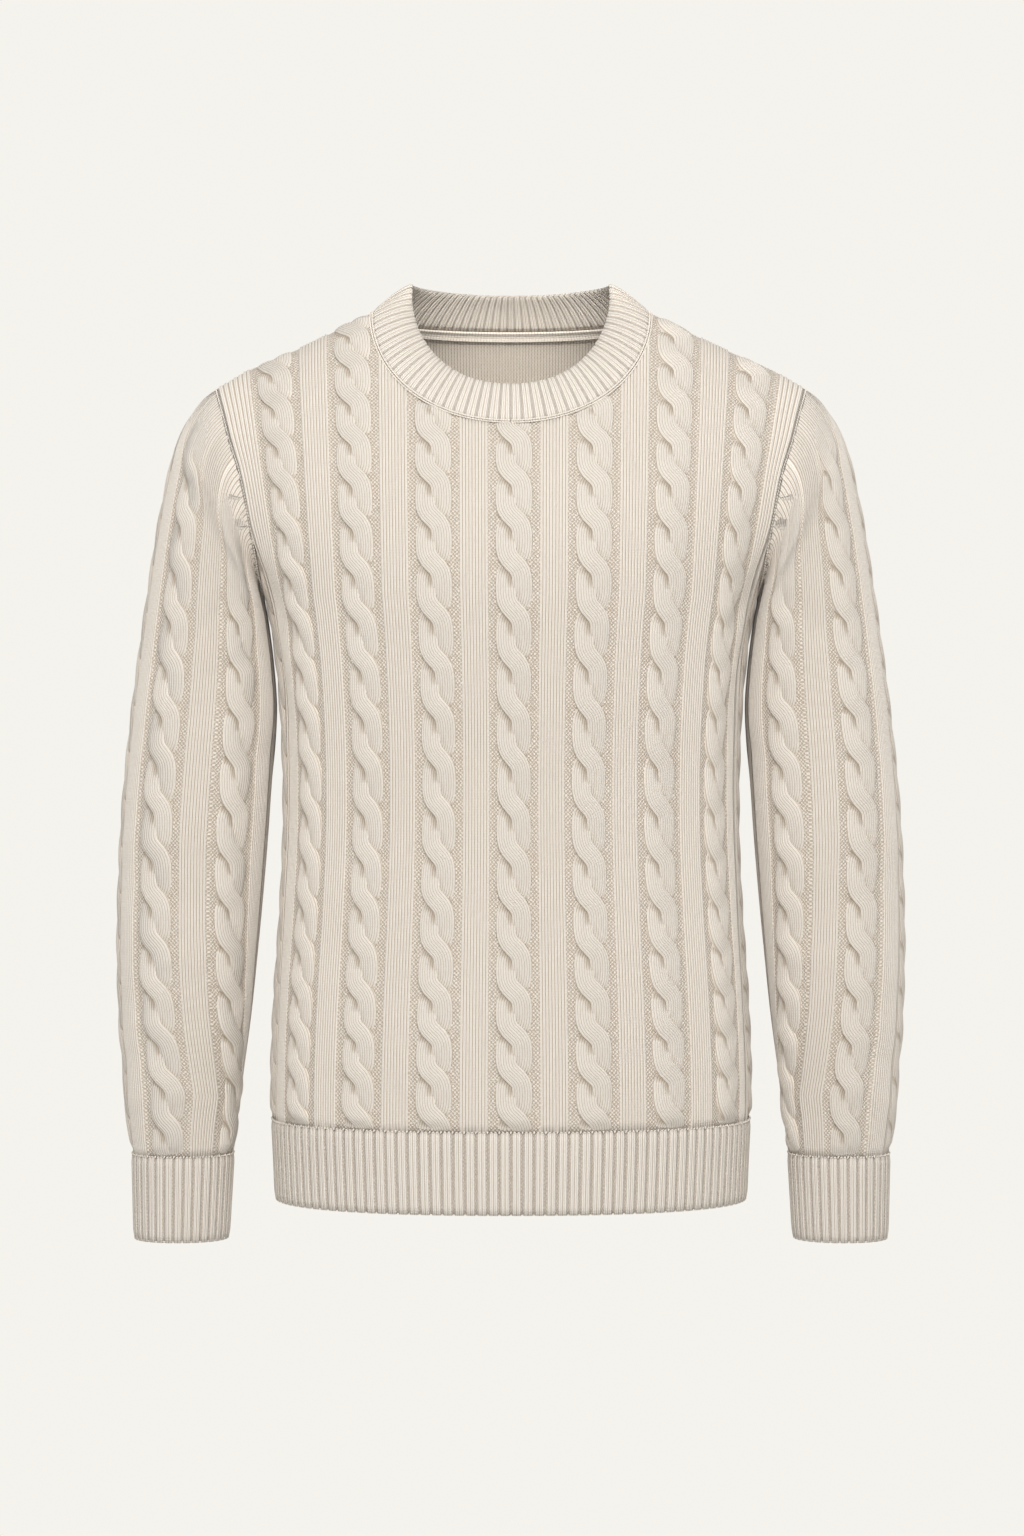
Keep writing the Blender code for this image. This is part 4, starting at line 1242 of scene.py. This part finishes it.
def bandLinks(band, surface, closed):
    # a row of loops on a band's upper seam, larger in its furrows, and one small bright loop at
    # the foot of each furrow
    ribs = band["ribs"]
    count = 3 * ribs + (0 if closed else 1)
    furrow = np.arange(count) % 3 == 0
    seam = (np.arange(count) / (3 * ribs), band["head"] - seamGap / 2, 0,
            np.where(furrow, 0.55, 1.0), np.where(furrow, 1.2, 0.25), np.where(furrow, 0.95, 0.8))
    rim = (np.arange(ribs) / ribs, band["foot"] + band["rim"], 1, 0.35, 0.0, 0.72)
    rows = []
    for share, level, part, lift, lean, grow in (seam, rim):
        point, out = surface(share, level, part)
        way = unit(surface(share + 0.001, level, part)[0] - point)
        none = 0 * share
        rows.append((point + out * (none + lift)[:, None], way, out, none + lean, none + grow))
    return rows


def hemLinks():
    return [row for side in (-1, 1) for row in bandLinks(hem, hemSurface(side), closed=False)]


def cuffLinks():
    return [row for sign in (-1, 1) for row in bandLinks(cuffs, cuffSurface(sign), closed=True)]


def bodyLinks():
    # the shoulder seams and the side seams
    shoulderLift, sideLift, lean, grow = links["plain"]
    rows = []
    for sign in (-1, 1):
        across = np.linspace(neckHalf + 1, 224, 60)
        high = smooth(shoulder, "height", across)
        down = -sign * np.gradient(high, across)
        z = np.linspace(chest - 2, chest + panelFoot + 1, 80)
        for x, height, out, lift in (
                (across, high, unit(np.stack([down, 0 * across, 1 + 0 * across], 1)),
                 shoulderLift),
                (smooth(body, "halfWidth", z), z, np.tile([float(sign), 0, 0], (80, 1)), sideLift)):
            line = np.stack([sign * x, 0 * x, height], 1)
            rows.append(evenRow(line + out * lift, out, lean, grow=grow))
    return rows


# The flat cut of each piece: width, length and area, in mm
def gridArea(points):
    first = points[1:, :-1] - points[:-1, :-1]
    second = points[:-1, 1:] - points[:-1, :-1]
    return float(np.linalg.norm(np.cross(first, second), axis=2).sum())


def panelCut(side):
    wale = np.linspace(-halfPanel, halfPanel, 495)
    high = topLevel(wale, side) - panelFoot
    return 2 * halfPanel, float(high.max()), float(high.mean() * 2 * halfPanel)


def sleeveCut(sign):
    grids = sleeveGrids(sign)
    return 2 * arm["half"], float(grids[7].max()), gridArea(grids[2])


def hemCut(_):
    deep = panelFoot - hem["foot"]
    return 2 * halfPanel, deep, 2 * halfPanel * deep


def cuffCut(_):
    girth = float(ringGirth(arm["end"]))
    deep = cuffs["head"] - cuffs["foot"]
    return girth, deep, girth * deep * (1 + cuffs["size"]) / 2


def collarCut():
    seam, _, _, edge = collarLoop(np.linspace(0, 0.99999, 600))
    deep = float(np.linalg.norm(edge - seam, axis=1).max()) + 2
    return float(lengths(seam)[-1]), deep, gridArea(np.stack([seam, edge])) * 1.05


def tapeCut():
    share = 0.5 + np.linspace(-tapeHalf, tapeHalf, 60) * 0.25
    long, wide = float(lengths(collarLoop(share)[0])[-1]), 10.2
    return long, wide, long * wide


looks = {"panel": ("cream_knit", creamPanel), "cable": ("cream_knit", creamCable),
         "rib": ("cream_rib", creamRib), "tape": ("cream_tape", creamTape)}
# name, solid it replaces, look, maker, flat cut, the cables on it, and its side
makers = [
    ("front_panel_knit", "front_panel", "panel", bodyPanel, panelCut, "front_cables", -1),
    ("front_cables", None, "cable", bodyCables, None, None, -1),
    ("back_panel_knit", "back_panel", "panel", bodyPanel, panelCut, "back_cables", 1),
    ("back_cables", None, "cable", bodyCables, None, None, 1),
    ("sleeve_right_knit", "sleeve_right", "panel", sleeveKnit, sleeveCut, "sleeve_right_cables", 1),
    ("sleeve_right_cables", None, "cable", sleeveCables, None, None, 1),
    ("sleeve_left_knit", "sleeve_left", "panel", sleeveKnit, sleeveCut, "sleeve_left_cables", -1),
    ("sleeve_left_cables", None, "cable", sleeveCables, None, None, -1),
    ("hem_front_rib", "hem_rib_front", "rib", hemBand, hemCut, None, -1),
    ("hem_back_rib", "hem_rib_back", "rib", hemBand, hemCut, None, 1),
    ("cuff_right_rib", "cuff_right", "rib", cuffBand, cuffCut, None, 1),
    ("cuff_left_rib", "cuff_left", "rib", cuffBand, cuffCut, None, -1),
    ("collar_rib", "neck_collar", "rib", collarBand, collarCut, None),
    ("neck_tape_strip", "neck_tape", "tape", neckTape, tapeCut, None)]
pieces = {}


def triangles(item):
    return len(item.data.loops) - 2 * len(item.data.polygons)


def keepPiece(name, item):
    pieces[name] = item
    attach(pieces[name], "root")
    print(name, triangles(item), "triangles")


for name, node, look, maker, _, _, *side in makers:
    slot, material = looks[look]
    keepPiece(name, maker(*side).build(name, material))
    if node:
        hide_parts(node)
linkGroup = linkNodes()
for name, rows, slot in (("armhole_links", armholeLinks, "cream_knit"),
                         ("body_seam_links", bodyLinks, "cream_knit"),
                         ("collar_chain", collarChain, "cream_rib"),
                         ("hem_links", hemLinks, "cream_rib"),
                         ("cuff_links", cuffLinks, "cream_rib")):
    keepPiece(name, linkPiece(name, rows(), linkGroup, creamLink))
print("all pieces", sum(map(triangles, pieces.values())))
for name, _, _, _, cutOf, cables, *side in makers:
    if cutOf:
        wide, long, area = cutOf(*side)
        print(name, "cut from", round(wide), "by", round(long), "mm, area", round(area / 100), "cm2")

# The studio: flat pale ground all round, broad soft lights in front and behind, and a narrow
# beam into the back of the neck
studio = {
    "pale": (0.913, 0.893, 0.845, 1),
    "ambient": 0.62,
    "key": (48.0, (0.0, -2.4, 1.6), (1.8, 1.0)),       # watts, place, width and height
    "fill": (24.0, (0.0, -3.0, -0.6), (2.4, 1.6)),
    "back": (26.0, (0.3, 2.9, 0.7), (2.2, 1.6)),
    "neck": (88.0, (0.0, -1.6, 0.62), (0.0, 0.05, -0.015), 0.115),   # watts, place, aim, angle
    "warm": (1.0, 0.94, 0.84),      # the beam's colour
    "aim": (0.0, 0.0, -0.3),        # of the other lights
    "floor": ((0.01, -1.3), (5.0, -1.3), (5.6, -1.1), (6.0, -0.5), (6.0, 6.0)),
    "lens": 93.75,
    "away": 3.0,
    "eyeHeight": -0.346,
    "aside": 0.0008,
}


def ground():
    # a round floor with a tall wall behind and around it, seen but casting no light
    material = bpy.data.materials.new("pale_ground")
    material.use_nodes = True
    tree = material.node_tree
    tree.nodes.clear()
    glow = wire(tree, "ShaderNodeEmission", {"Color": studio["pale"]})
    tree.links.new(glow, tree.nodes.new("ShaderNodeOutputMaterial").inputs["Surface"])

    sides = 96
    work = bmesh.new()
    hoops = [[work.verts.new((radius * np.cos(a), radius * np.sin(a), height))
              for a in np.linspace(0, 2 * np.pi, sides, endpoint=False)]
             for radius, height in studio["floor"]]
    for low, high in zip(hoops[:-1], hoops[1:]):
        for k in range(sides):
            work.faces.new((low[k - 1], low[k], high[k], high[k - 1]))
    mesh = bpy.data.meshes.new("pale_floor")
    work.to_mesh(mesh)
    work.free()
    mesh.shade_smooth()
    mesh.materials.append(material)
    floor = placed("pale_floor", mesh)
    for ray in ("visible_diffuse", "visible_glossy", "visible_transmission", "visible_shadow"):
        setattr(floor, ray, False)


def lamp(name, kind, watts, place, aim, **settings):
    light = bpy.data.lights.new(name, kind)
    light.energy = watts
    for key, value in settings.items():
        setattr(light, key, value)
    item = placed(name, light)
    item.location = place
    item.rotation_euler = (Vector(aim) - Vector(place)).to_track_quat("-Z", "Y").to_euler()


ground()
watts, place, aim, angle = studio["neck"]
lamp("neck", "SPOT", watts, place, aim, spot_size=angle, spot_blend=1.0, color=studio["warm"],
     shadow_soft_size=0.05)
world = bpy.data.worlds.new("studio")
bpy.context.scene.world = world
world.use_nodes = True
world.node_tree.nodes["Background"].inputs["Color"].default_value = studio["pale"]
world.node_tree.nodes["Background"].inputs["Strength"].default_value = studio["ambient"]
for name in ("key", "fill", "back"):
    watts, place, (wide, high) = studio[name]
    lamp(name, "AREA", watts, place, studio["aim"], shape="RECTANGLE", size=wide, size_y=high)
view = bpy.context.scene.view_settings
view.view_transform = "Standard"
view.look = "None"

camera = placed("camera", bpy.data.cameras.new("camera"))
camera.data.lens = studio["lens"]
camera.data.sensor_width = 36
camera.data.clip_end = 50
camera.location = (studio["aside"], -studio["away"], studio["eyeHeight"])
camera.rotation_euler = (np.pi / 2, 0, 0)
bpy.context.scene.camera = camera
